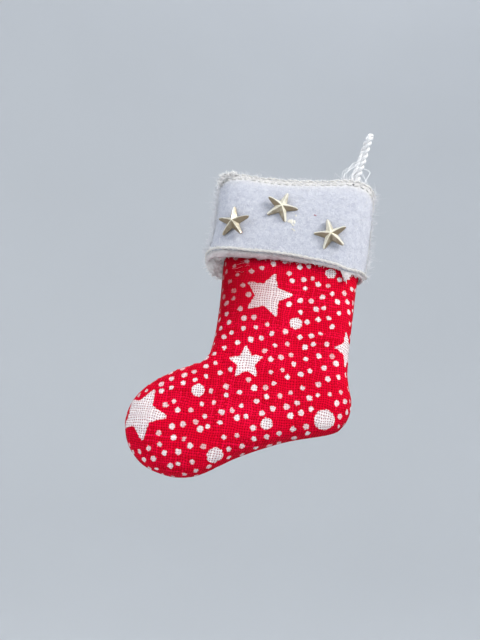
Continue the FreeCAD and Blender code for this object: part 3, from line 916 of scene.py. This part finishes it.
def panel_rise(points, height, edge, along, side):
    """How far a stuffed panel stands off the seam plane: swollen, creased, and puckered at its seam."""
    crown = np.sqrt(2 * np.maximum(height, 0))
    rise = LEG_HALF * crown / (crown**4 + LEG_FLATNESS**4) ** 0.25
    fade = np.clip(edge / SEAM_FADE, 0, 1) ** 1.5
    rise += creases(points[:, 0], points[:, 1], side) * fade
    pucker = np.sin(along * 2 * math.pi / PUCKER_PITCH + 2.0 * np.sin(along * 0.45))
    puckered = np.exp(-((edge - PUCKER_PLACE) ** 2) / PUCKER_SPREAD) * (edge > 0.05)
    rise += PUCKER_DEPTH * pucker * puckered
    return np.maximum(rise, 0) + 0.1


def make_panel(name, side, material, base):
    """One padded cotton panel: -1 is the front and +1 the back."""
    outline, points, triangles, height = base
    outward, along = seam_lines(outline)
    gap = np.linalg.norm(points[:, None] - outline[None], axis=2)
    near = gap.argmin(1)
    edge = gap.min(1)
    rise = panel_rise(points, height, edge, along[near], side)
    lean = np.arcsin(np.clip(rise / LEG_HALF, 0, 1))
    excess = SEAM_BEND * np.maximum(math.pi / 2 - lean - np.cos(lean), 0)
    cloth = points + outward[near] * excess[:, None]

    tucked = outline - outward * SEAM_TUCK
    seam = np.stack([tucked[:, 0], np.full(len(outline), side * 0.02), tucked[:, 1]], axis=1)
    body = np.stack([points[:, 0], side * rise, points[:, 1]], axis=1)
    verts = np.concatenate([body, seam])
    cloth = np.concatenate([cloth, cloth[: len(outline)] + outward * 0.3])
    start = len(points)
    faces = [tuple(t) for t in triangles]
    faces += [(i + 1, i, start + i, start + i + 1) for i in range(len(outline) - 1)]
    if side > 0:
        faces = [tuple(reversed(f)) for f in faces]
    piece = add_object(name, verts, faces, material)
    face_outwards(piece, side)
    coords = np.concatenate([cloth, np.zeros((len(cloth), 1))], axis=1)
    add_vectors(piece, "fabric", coords)
    thicken(piece, "cotton", COTTON)
    return piece


def face_outwards(piece, side=None):
    """Turns every face the same way: a panel's out to its side, a ring's away from the middle plane."""
    mesh = bmesh.new()
    mesh.from_mesh(piece.data)
    bmesh.ops.recalc_face_normals(mesh, faces=mesh.faces)
    total = sum(f.normal.y * f.calc_area() * (side or f.calc_center_median().y) for f in mesh.faces)
    if total < 0:
        bmesh.ops.reverse_faces(mesh, faces=mesh.faces)
    mesh.to_mesh(piece.data)
    mesh.free()


def make_leg(group):
    """Both padded panels."""
    outline = smooth_line(LEG_OUTLINE, 0.4)
    points, triangles = panel_points(outline, LEG_SPACING)
    held = np.zeros(len(points), bool)
    held[: len(outline)] = True
    height = swell(points, triangles, held)
    base = (outline, points, triangles, height)
    for name, side, stars, dots, turn in (
        ("front", -1, FRONT_STARS, FRONT_DOTS, -3.0),
        ("back", 1, BACK_STARS, BACK_DOTS, 2.0),
    ):
        cotton = printed_cotton("printed_cotton_" + name, stars, dots, group, turn)
        piece = make_panel("leg_panel_" + name, side, cotton, base)
        finish_piece(piece, "printed_cotton", "leg_" + name)
    return outline


# -------- cuff


def profile(table, at):
    """A smooth value from a table of (place, value)."""
    knots = np.asarray(table, float)
    fine = smooth_line(knots, (knots[-1, 0] - knots[0, 0]) / 60)
    return np.interp(at, fine[:, 0], fine[:, 1])


def squared_cosine(angle):
    """The cosine, pushed outwards so that an ellipse drawn with it has nearly straight sides."""
    cos = np.cos(angle)
    return np.sign(cos) * np.abs(cos) ** (2 / CUFF_SQUARE)


def cuff_angles(count):
    """Angles evenly spaced round the cuff's section, whose front and back are nearly straight."""
    share = np.linspace(0, 1, 1001)
    quarter = np.union1d(share * math.pi / 2, np.arccos(share ** (CUFF_SQUARE / 2)))
    half = np.union1d(quarter, math.pi - quarter)
    angle = np.union1d(half, math.pi + half)
    half_width, half_depth = 13.0, 4.6
    x = half_width * squared_cosine(angle)
    along = run_along(np.stack([x, half_depth * np.sin(angle)], axis=1))
    return np.interp(np.arange(count) / count * along[-1], along, angle)


def cuff_place(angle, rise, inset=0.0):
    """Points of the cuff's outside: rise is 0 at the hem and 1 at the rim, inset goes inwards."""
    left, right = profile(CUFF_LEFT, rise), profile(CUFF_RIGHT, rise)
    half = (right - left) / 2 - inset
    depth = profile(CUFF_DEPTH, rise) - inset
    x = (left + right) / 2 + half * squared_cosine(angle)
    heel_side = np.clip((x - HEEL_SIDE[0]) / HEEL_SIDE[1], 0, 1)
    y = depth * np.sin(angle) * (1 - 0.4 * heel_side**2)
    behind = np.clip(y / 4.5, 0, 1)
    toe_side = np.clip((TOE_SIDE[0] - x) / TOE_SIDE[1], 0, 1)
    hem = profile(CUFF_HEM, x) + behind * (BACK_HEM[0] * heel_side - BACK_HEM[1] * toe_side**1.5)
    z = hem + rise * (profile(CUFF_RIM, x) - hem)
    return np.stack([x, y, z], axis=-1)


def make_cuff(material):
    """The felt tube, slightly lumpy, with its edges rounded by the felt's own thickness."""
    angles = cuff_angles(300)
    rises = np.unique(np.concatenate([np.linspace(0, 1, 40), np.linspace(0.86, 1, 14)]))
    grid = np.concatenate([cuff_place(angles, np.full(len(angles), r)) for r in rises])
    outward = unit((grid - (CUFF_MIDDLE, 0.0, 0.0)) * (0.25, 1.0, 0.0))
    grid += outward * (0.16 * wave(grid, 0.16, 21.0) + 0.05 * wave(grid, 0.7, 5.0))[:, None]
    below = np.repeat((1 - rises) * CUFF_HEIGHT, len(angles))
    above = np.repeat(rises * CUFF_HEIGHT, len(angles))
    rolled = 0.12 * np.exp(-(((below - 0.5) / 0.4) ** 2)) - 0.04 * np.exp(-(((below - 1.2) / 0.35) ** 2))
    grid += outward * rolled[:, None]
    edge = np.exp(-below / 0.8) + np.exp(-above / 0.8)
    grid[:, 2] += 0.22 * edge * wave(grid, 0.5, 40.0)
    piece = add_object("cuff_felt", grid, ring_faces(len(rises), len(angles)), material)
    add_share(piece, "edge", 0.85 * np.exp(-((below / 1.5) ** 2)))
    face_outwards(piece)
    thicken(piece, "felt", CUFF_FELT)
    finish_piece(piece, "white_felt", "cuff_front", "cuff_back")


def lining_drop(x):
    """How far the inner layer shows under the hem: more on the toe side, and a flap near the heel side."""
    middle, half, depth = FLAP
    return profile(LINING_DROP, x) + depth * np.clip(1 - np.abs(x - middle) / half, 0, 1)


def lining_shade(place, low):
    """How much painted shade, pink as from red light off the cotton, lies on the front's inner layer, most
    along its lower edge.
    """
    return low * profile(LINING_SHADE, place[:, 0]) * (place[:, 1] < 0)


def make_lining(material):
    """The fluffy inner layer, which shows under the hem."""
    angles = cuff_angles(340)
    front = np.clip(-np.sin(angles) * 2, 0, 1)
    rows = [(0.0, 0.42, 1.0), (0.0, 0.36, 0.75), (0.0, 0.32, 0.5), (0.0, 0.3, 0.25), (0.0, 0.3, 0.06)]
    rows += [(rise, CUFF_FELT + 0.18, 0.0) for rise in np.linspace(0.004, 0.8, 22)]
    grid = []
    for rise, inset, share in rows:
        ring = cuff_place(angles, np.full(len(angles), rise), inset)
        ring[:, 2] -= share * (0.5 + (lining_drop(ring[:, 0]) - 0.5) * front)
        grid.append(ring)
    grid = np.concatenate(grid)
    low = np.repeat([share for _, _, share in rows], len(angles))
    grid[:, 1] += 0.14 * low * wave(grid, 0.55, 61.0) * np.sign(grid[:, 1])
    grid[:, 2] += 0.2 * low * wave(grid, 1.1, 17.0)
    piece = add_object("cuff_lining", grid, ring_faces(len(rows), len(angles)), material)
    # Painted shade under the hem, read by the lining's material.
    add_share(piece, "edge", lining_shade(grid, low))
    face_outwards(piece)
    thicken(piece, "pile", 0.3, 0.0)
    finish_piece(piece, "fluffy_lining", "cuff_lining_front", "cuff_lining_back")


def cuff_line(rise, outset, count=520):
    """A closed line round the cuff, just outside its felt."""
    return cuff_place(cuff_angles(count), np.full(count, rise), -outset)


def cuff_front(x, rise, outset=0.0):
    """The point of the cuff's front at a place along x."""
    line = cuff_line(rise, outset, 2000)
    line = line[line[:, 1] < 0]
    return line[np.abs(line[:, 0] - x).argmin()]


def make_edge_cords(material):
    """A two-ply cord sewn along the rim, and a thinner one along the hem."""
    for name, rise, outset, waves, offset, strand, pitch in EDGE_CORDS:
        line = cuff_line(rise, outset)
        line[:, 2] += sum(size * wave(line, scale, seed) for size, scale, seed in waves)
        strands = twisted(line, offset, strand, 2, pitch, closed=True)
        finish_piece(yarn_object(name + "_edge_cord", [strands], material), "cream_cord", name + "_cord")


def stitch(line, out, radius):
    """One stitch: a short thread that rises from the felt and dips back into it."""
    t = np.linspace(-1, 1, len(line))
    bowed = line + out * (STITCH_LIFT - STITCH_DIP * t**6)[:, None]
    return sweep(bowed, radius * (1 - 0.4 * t**6), 6)


def make_running_stitches(name, node, rise, material):
    """A row of short stitches round the cuff, which holds its edge down."""
    rng = np.random.default_rng(round(100 * (rise + 1)))
    line = cuff_line(rise, 0.0, 1040)
    line[:, 2] += 0.14 * wave(line, 0.5, 33.0)
    parts = []
    start = 0
    while start < len(line) - 20:
        long = int(rng.integers(11, 16))
        part = line[start : start + long]
        ahead = part[-1] - part[0]
        out = np.cross(unit(ahead), UP)
        out *= np.sign(out @ (part[0] - (CUFF_MIDDLE, 0, part[0][2])))
        lean = np.linspace(-1, 1, long)[:, None] * (0, 0, rng.normal(0, 0.05))
        parts.append(stitch(part + lean, out, STITCH_RADIUS))
        start += long + int(rng.integers(4, 8))
    add_thread(name, parts, material, node)


def make_side_seams(material):
    """Thread that overcasts the cuff's two side seams."""
    rng = np.random.default_rng(12)
    turns = 40
    for side, angle in (("left", math.pi), ("right", 0.0)):
        base = cuff_place(np.full(turns, angle), np.linspace(0.02, 0.97, turns), -0.08)
        base[:, 0] += rng.normal(0, 0.08, turns)
        base[:, 1] += 0.3 * np.where(np.arange(turns) % 2, 1.0, -1.0)
        line = smooth_line(base, 0.14)
        add_thread("seam_overcast_" + side, [sweep(line, 0.1, 6)], material, "cuff_seam_" + side)


# -------- fuzz


def grow(roots, ways, lengths, thickness, curl, rng, steps=6):
    """Many thin curved hairs, each a three-sided tapering tube."""
    count = len(roots)
    axis = unit(rng.normal(0, 1, (count, 3)))
    way = unit(ways)
    lines = [roots]
    turn = curl * rng.normal(1, 0.5, count)
    for _ in range(steps):
        cross = np.cross(axis, way)
        angle = (turn / steps)[:, None]
        way = way * np.cos(angle) + cross * np.sin(angle)
        way = unit(way + rng.normal(0, 0.12, (count, 3)))
        lines.append(lines[-1] + way * (lengths / steps)[:, None])
    side = unit(np.cross(way, axis))
    return hair_tubes(np.stack(lines, axis=1), circle(side, np.cross(way, side), 3), thickness)


def hair_tubes(lines, ring, thickness):
    """A three-sided tapering tube round each hair's line."""
    count, points, _ = lines.shape
    taper = 1 - 0.75 * np.linspace(0, 1, points) ** 2
    size = thickness[:, None] * taper[None]
    verts = lines[:, :, None] + ring[:, None] * size[:, :, None, None]
    index = np.arange(count * points * 3).reshape(count, points, 3)
    faces = []
    for k in range(3):
        n = (k + 1) % 3
        quad = np.stack([index[:, :-1, k], index[:, :-1, n], index[:, 1:, n], index[:, 1:, k]], axis=-1)
        faces.append(quad.reshape(-1, 4))
    return verts.reshape(-1, 3), np.concatenate(faces)


def cuff_hairs(rng, count, low, high, inset=0.0, middle=None):
    """Roots and outward directions spread over a band of the cuff, all round or near one angle."""
    angle = cuff_angles(2000)[rng.integers(0, 2000, count)]
    if middle is not None:
        angle = middle + rng.uniform(-0.5, 0.5, count)
    rise = rng.uniform(low, high, count)
    place = cuff_place(angle, rise, inset)
    near = cuff_place(angle + 0.01, rise, inset)
    out = unit(np.cross(near - place, UP))
    toward = (place - (CUFF_MIDDLE, 0.0, 0.0)) * (1.0, 1.0, 0.0)
    out *= np.sign((out * toward).sum(1))[:, None]
    return place, out


def tuft(place, lean, longest, thick, rng):
    """Curled hairs that lean one way and scatter. Thick is the hairs' middle radius."""
    count = len(place)
    ways = lean + rng.normal(0, 0.6, place.shape)
    lengths = rng.uniform(0.3, 1.0, count) ** 1.5 * longest
    return grow(place, ways, lengths, rng.uniform(0.7, 1.3, count) * thick, 1.8, rng)


def make_fuzz(material, cream):
    """Hairs of the felt: short ones that lie on it, and longer ones at its edges and sides."""
    rng = np.random.default_rng(71)
    parts = []
    for count, low, high, out_share, up, longest, thick in FELT_HAIRS:
        place, out = cuff_hairs(rng, count, low, high)
        parts.append(tuft(place, out * out_share + (0, 0, up), longest, thick, rng))
    for middle, count in SIDE_HAIRS:
        place, out = cuff_hairs(rng, count, 0.0, 1.0, 0.0, middle)
        parts.append(tuft(place, out * 0.8, 1.7, 0.036, rng))
    fuzz = add_object("cuff_fuzz", *merge(parts), material)
    finish_piece(fuzz, "white_felt")

    place, out = cuff_hairs(rng, PILE_HAIRS, 0.0, 0.02, CUFF_FELT - 0.25)
    low = rng.uniform(0.0, 1.0, PILE_HAIRS)
    place[:, 2] -= lining_drop(place[:, 0]) * low
    ways = out * 0.5 + (0, 0, -0.2)
    pile = add_object("lining_pile", *tuft(place, ways, 0.8, 0.042, rng), cream)
    per_hair = len(pile.data.vertices) // PILE_HAIRS
    # Painted shade on the pile, as on the lining.
    add_share(pile, "edge", np.repeat(lining_shade(place, low), per_hair))
    finish_piece(pile, "fluffy_lining")


def soft_lump(middle, radii, hairs, longest, rng):
    """A lumpy ball of pile and the hairs that stand on it."""
    ball, faces = unit_ball()
    seed = rng.uniform(0, 50)
    lumps = 1 + 0.2 * wave(ball, 1.6, seed) + 0.1 * wave(ball, 4.0, seed + 9)
    verts = ball * lumps[:, None] * radii + middle
    chosen = rng.integers(0, len(ball), hairs)
    return (verts, faces), tuft(verts[chosen], ball[chosen], longest, 0.045, rng)


def make_soft_lumps(lining, hairs):
    """The pile between cuff and leg on the toe side, and the frayed lump in the rim's corner."""
    rng = np.random.default_rng(45)
    for name, lumps in (("pile_pad", PAD_LUMPS), ("corner_cord_ends", CORNER_LUMPS)):
        made = [soft_lump(middle, radii, count, 0.9, rng) for middle, radii, count in lumps]
        balls = add_object(name, *merge([ball for ball, _ in made]), lining)
        finish_piece(balls, "fluffy_lining")
        strands = add_object(name + "_hairs", *merge([hair for _, hair in made]), hairs)
        finish_piece(strands, "fluffy_lining")


def make_stray_fibres(material):
    """A few long hairs that curl away from the cuff's edges."""
    rng = np.random.default_rng(8)
    parts = []
    for low, high, middle, count in STRAY_HAIRS:
        place, out = cuff_hairs(rng, count, low, high, 0.0, middle)
        ways = out + rng.normal(0, 0.4, place.shape)
        thick = rng.uniform(0.026, 0.04, count)
        parts.append(grow(place, ways, rng.uniform(1.2, 3.2, count), thick, 3.4, rng, 14))
    piece = add_object("stray_fibres", *merge(parts), material)
    finish_piece(piece, "white_felt")


def make_frayed_cord(material):
    """Filaments that have sprung out of the cord and run down into the mouth beside it."""
    rng = np.random.default_rng(27)
    parts = []
    for points in FRAYED_FILAMENTS:
        for _ in range(2):
            shifted = np.array(points) + rng.normal(0, 0.18, (len(points), 3))
            thick = FILAMENT_RADIUS * rng.uniform(0.5, 1.2)
            parts.append(sweep(smooth_line(shifted, 0.15), thick, 6, cap=False)[:2])
    roots = np.array(FRONT_PIVOT) + rng.normal(0, 0.34, (FOOT_HAIRS, 3)) + (-0.2, 0.2, -0.8)
    ways = rng.normal(0, 0.5, (FOOT_HAIRS, 3)) + (0.0, -0.2, 0.9)
    thick = rng.uniform(0.03, 0.05, FOOT_HAIRS)
    parts.append(grow(roots, ways, rng.uniform(0.9, 2.6, FOOT_HAIRS), thick, 2.6, rng, 14))
    bend_with_loop(add_object("frayed_cord", *merge(parts), material))


# -------- stars and glue


def arm_reach(off):
    """How far a star's edge is from its middle, at an angle off the ridge of an arm."""
    reach = STAR_ARM / (math.sin(off) + STAR_TAPER * math.cos(off))
    middle = STAR_REACH - STAR_TIP
    if middle * math.sin(off) < STAR_TIP:
        tip = middle * math.cos(off) + math.sqrt(STAR_TIP**2 - (middle * math.sin(off)) ** 2)
        reach = min(reach, tip)
    return reach


def arm_crown(along):
    """How high an arm's ridge stands at a distance along it, falling away at the tip."""
    share = along / STAR_REACH
    return STAR_HEIGHT * (1 - 0.42 * share**1.5) * math.sqrt(max(0.0, 1 - 0.8 * share**8))


def star_shape(arms=5, per_arm=12, rings=10):
    """A pressed star in its own plane (x, z), rising to -y: blunt arms with a ridge each.

    Returns its points, its faces, and a share for the worn attribute: 1 on a ridge and less towards the
    valleys, where the sides that face up are painted lighter and those that face down get the most painted
    shade."""
    around = arms * per_arm * 2
    verts, worn = [(0.0, -STAR_HEIGHT, 0.0)], [1.0]
    for r in range(1, rings + 1):
        for k in range(around):
            angle = math.pi / 2 + 2 * math.pi * k / around
            off = abs((k + per_arm) % (2 * per_arm) - per_arm) * math.pi / arms / per_arm
            far = arm_reach(off) * r / rings
            along = far * math.cos(off)
            aside = far * math.sin(off) / (STAR_ARM - STAR_TAPER * along)
            height = arm_crown(along) * (1 - 0.8 * aside)
            verts.append((far * math.cos(angle), -height, far * math.sin(angle)))
            way = 1 if (k + per_arm) % (2 * per_arm) > per_arm else -1
            # Painted light and shade: sides that face up are lit, those that face down are shaded.
            lit = 0.5 + 0.5 * math.sin(angle - way * off + way * math.pi / 2)
            worn.append(max(1 - 5 * aside, lit * (1 - 0.25 * aside)))
    rim = verts[-around:]
    for drop, spread in ((0.08, 1.02), (-0.1, 1.0)):
        verts += [(x * spread, -drop, z * spread) for x, _, z in rim]
        worn += [0.0] * around
    faces = [(0, 1 + (k + 1) % around, 1 + k) for k in range(around)]
    faces += ring_faces(rings + 2, around, start=1)
    faces.append(tuple(range(len(verts) - around, len(verts))))
    return np.array(verts), faces, np.array(worn)


def make_stars(metal, glue):
    """The three metal stars and the glue under each."""
    verts, faces, worn = star_shape()
    for i, (name, x, z, turn, nod, swing, painted_light) in enumerate(STARS):
        piece = add_object("metal_star_" + name, verts, faces, metal)
        piece.data.set_sharp_from_angle(angle=math.radians(24))
        # Painted light: each star's own brightness scales its worn share.
        add_share(piece, "worn", painted_light * worn)
        turned = (
            Matrix.Rotation(math.radians(nod), 4, "X")
            @ Matrix.Rotation(math.radians(swing), 4, "Z")
            @ Matrix.Rotation(math.radians(turn), 4, "Y")
        )
        piece.matrix_world = Matrix.Translation(Vector((x, STAR_BASE, z)) * MM) @ turned
        bpy.context.view_layer.update()
        piece.data.transform(piece.matrix_world)
        piece.matrix_world = Matrix.Identity(4)
        finish_piece(piece, "star_metal", "star_" + name)
        blob = add_object("glue_dot_" + name, *glue_shape(x, z, i), glue)
        finish_piece(blob, "clear_glue", "glue_" + name)


def glue_shape(x, z, seed):
    """A squashed blob of glue that runs a little past the star's middle."""
    ball, faces = unit_ball()
    size = 1 + 0.25 * wave(ball, 1.4, 5.0 + seed)
    return ball * size[:, None] * (0.95, 0.3, 0.9) + (x + 0.1, -4.75, z - 0.15), faces


# -------- small pieces


def make_stuffing(material):
    """The wad inside the mouth."""
    angle = cuff_angles(90)
    rows = []
    wide, deep = STUFFING_HALF
    for share, z in STUFFING:
        x = STUFFING_MIDDLE + wide * share * np.sign(np.cos(angle)) * np.abs(np.cos(angle)) ** 0.5
        y = deep * share * np.sin(angle)
        rows.append(np.stack([x, y, np.full(len(angle), z)], axis=1))
    grid = np.concatenate(rows)
    grid[:, 2] += 0.7 * wave(grid, 0.45, 30.0)
    faces = ring_faces(len(rows), len(angle)) + end_faces(len(rows), len(angle))
    piece = add_object("stuffing_wad", grid, faces, material)
    piece.modifiers.new("round", "SUBSURF").render_levels = 2
    finish_piece(piece, "fibre_wad", "stuffing")


def make_seam_thread(outline, material):
    """Ladder stitches in the groove between the two panels."""
    outward, along = seam_lines(outline)
    parts = []
    for at in np.arange(10.0, along[-1] - 10.0, 1.15):
        x, z = (np.interp(at, along, outline[:, i]) for i in (0, 1))
        nx, nz = (np.interp(at, along, outward[:, i]) for i in (0, 1))
        middle = np.array((x, 0.0, z)) - np.array((nx, 0.0, nz)) * 0.16
        t = np.linspace(-0.3, 0.3, 5)[:, None]
        line = middle + t * np.array((0.35 * -nz, 1.0, 0.35 * nx)) - np.array((nx, 0, nz)) * (t**2)
        parts.append(sweep(line, 0.05, 5))
    add_thread("seam_stitches", parts, material, "leg_seam_thread")


def make_flecks(material):
    """Pink flecks of thread caught in the felt."""
    offsets = np.array(((-0.2, 0.0, 0.12), (-0.05, -0.08, 0.0), (0.1, -0.06, 0.06), (0.16, 0.02, -0.08)))
    parts = [sweep(cuff_front(x, rise) + offsets, 0.06, 6) for x, rise in FLECKS]
    add_thread("pink_flecks", parts, material)


def make_glue_residue(material):
    """A thin smear of dried glue below the middle star."""
    rng = np.random.default_rng(3)
    parts = []
    for _ in range(16):
        middle = cuff_front(rng.normal(GLUE_RESIDUE[0], 0.3), rng.normal(GLUE_RESIDUE[1], 0.035))
        radii = rng.uniform(0.09, 0.24, 3) * (1.0, 0.3, 1.0)
        parts.append(soft_lump(middle, radii, 1, 0.1, rng)[0])
    piece = add_object("glue_residue", *merge(parts), material)
    finish_piece(piece, "clear_glue")


def make_needle_hole(material):
    """A needle hole beside the loop's foot, as a shallow round plug in the felt, coloured dark as painted
    shade in the hole.
    """
    middle = cuff_front(*NEEDLE_HOLE, 0.03)
    line = middle + np.array(((0.0, 0.1, 0.0), (0.0, -0.01, 0.0)))
    add_thread("needle_hole", [sweep(line, 0.17, 10)], material)


def make_cuff_threads(material):
    """Frayed ends of the cotton's own threads, below the cuff on the toe side."""
    rng = np.random.default_rng(64)
    parts = []
    for _ in range(COTTON_ENDS):
        start = np.array((rng.uniform(-18.6, -15.0), -3.42, rng.uniform(-32.0, -29.8)))
        way = np.array((rng.uniform(0.5, 1.1), -0.02, rng.uniform(-0.2, 0.7)))
        bend = rng.normal(0, 0.1, (5, 3)) * (1.0, 0.15, 1.0)
        line = start + np.linspace(0, COTTON_END_LENGTH, 5)[:, None] * way + bend
        parts.append(sweep(smooth_line(line, 0.15), COTTON_END_RADIUS, 5))
    add_thread("frayed_cotton", parts, material)


# -------- stage and light


def make_stage():
    """A pale floor that curves up all round into a wall, open at the top."""
    material, g = new_material("stage", Roughness=0.9)
    tone = g.noise(g.millimetres(), 0.004, 2.0)
    g.shade("Base Color", g.mix(tone, rgb(206, 209, 212), rgb(212, 215, 218)))
    section = [(0.0, FLOOR_LEVEL), (FLOOR_CURVE, FLOOR_LEVEL)]
    for a in np.linspace(0, math.pi / 2, 16):
        rise = FLOOR_CURVE * (1 - math.cos(a))
        section.append((FLOOR_REACH + FLOOR_CURVE * math.sin(a), FLOOR_LEVEL + rise))
    section.append((FLOOR_REACH + FLOOR_CURVE, WALL_TOP))
    turns = np.arange(96) * 2 * math.pi / 96
    verts = [(far * math.cos(turn), far * math.sin(turn), z) for far, z in section for turn in turns]
    floor = add_object("stage_floor", verts, ring_faces(len(section), len(turns)), material)


def make_light():
    """A broad key from above on the heel side, a weak fill, a lamp behind and a pale surround."""
    for name, (place, size, power, colour) in LAMPS.items():
        data = bpy.data.lights.new(name, "AREA")
        data.shape = "DISK"
        data.size = size
        data.energy = power
        data.color = colour
        lamp = bpy.data.objects.new(name, data)
        lamp.location = place
        lamp.visible_camera = False
        lamp.rotation_euler = (Vector(LAMP_AIM) - Vector(place)).to_track_quat("-Z", "Y").to_euler()
        bpy.context.scene.collection.objects.link(lamp)
    world = bpy.data.worlds.new("studio")
    world.use_nodes = True
    background = world.node_tree.nodes["Background"]
    background.inputs["Color"].default_value = SURROUND
    background.inputs["Strength"].default_value = SURROUND_STRENGTH
    bpy.context.scene.world = world
    bpy.context.scene.view_settings.view_transform = "Standard"


# -------- assembly

make_camera()
silver = yarn_thread("silver_cord", rgb(255, 255, 255), rgb(222, 224, 227), 0.08, 0.38, 4.0, 1.1)
make_loop(silver)

cream = yarn_thread("cream_cord", rgb(255, 253, 248), rgb(240, 236, 228), plies=4.0)
white_thread = yarn_thread("white_thread", rgb(255, 254, 250), rgb(244, 240, 232))
red_thread = yarn_thread("red_thread", rgb(196, 6, 40), rgb(110, 0, 16))
pink_thread = yarn_thread("pink_thread", rgb(246, 110, 130), rgb(224, 70, 96))
cotton_thread = yarn_thread("cotton_thread", rgb(240, 96, 116), rgb(206, 20, 52))
# Painted shade for the needle hole's inside.
hole_shade_thread = yarn_thread("hole_shade_thread", rgb(54, 44, 46), rgb(30, 24, 26))
cream_edge = rgb(238, 233, 224)
# Painted shade, pink as from red light off the cotton, on the lining under the hem.
pink_shade = rgb(168, 126, 134)
white_felt = felt("white_felt", rgb(212, 214, 221), rgb(166, 169, 185), cream_edge)
lining_felt = felt("fluffy_lining", rgb(250, 248, 246), rgb(222, 216, 216), pink_shade, 0.0002)
white_hair = fibre("felt_hairs", rgb(242, 241, 242), rgb(222, 222, 228), cream_edge)
cord_hair = fibre("cord_filaments", rgb(255, 255, 255), rgb(236, 238, 240), cream_edge)
cream_hair = fibre("lining_hairs", rgb(255, 255, 253), rgb(244, 242, 240), pink_shade)
dried_glue = fibre("dried_glue", rgb(236, 232, 220), rgb(214, 208, 194), cream_edge)

leg_outline = make_leg(star_group())
make_cuff(white_felt)
make_lining(lining_felt)
make_edge_cords(cream)
make_running_stitches("rim_running_stitch", "rim_stitches", 0.925, white_thread)
make_running_stitches("hem_running_stitch", "hem_stitches", 0.022, white_thread)
make_side_seams(white_thread)
make_fuzz(white_hair, cream_hair)
make_soft_lumps(lining_felt, cream_hair)
make_stray_fibres(white_hair)
make_frayed_cord(cord_hair)
make_stars(pressed_metal(), clear_glue())
make_glue_residue(dried_glue)
make_stuffing(fibre_wad())
make_seam_thread(leg_outline, red_thread)
make_flecks(pink_thread)
make_needle_hole(hole_shade_thread)
make_cuff_threads(cotton_thread)
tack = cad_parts["loop_tack"].data
tack.materials.clear()
tack.materials.append(white_thread)
make_stage()
make_light()
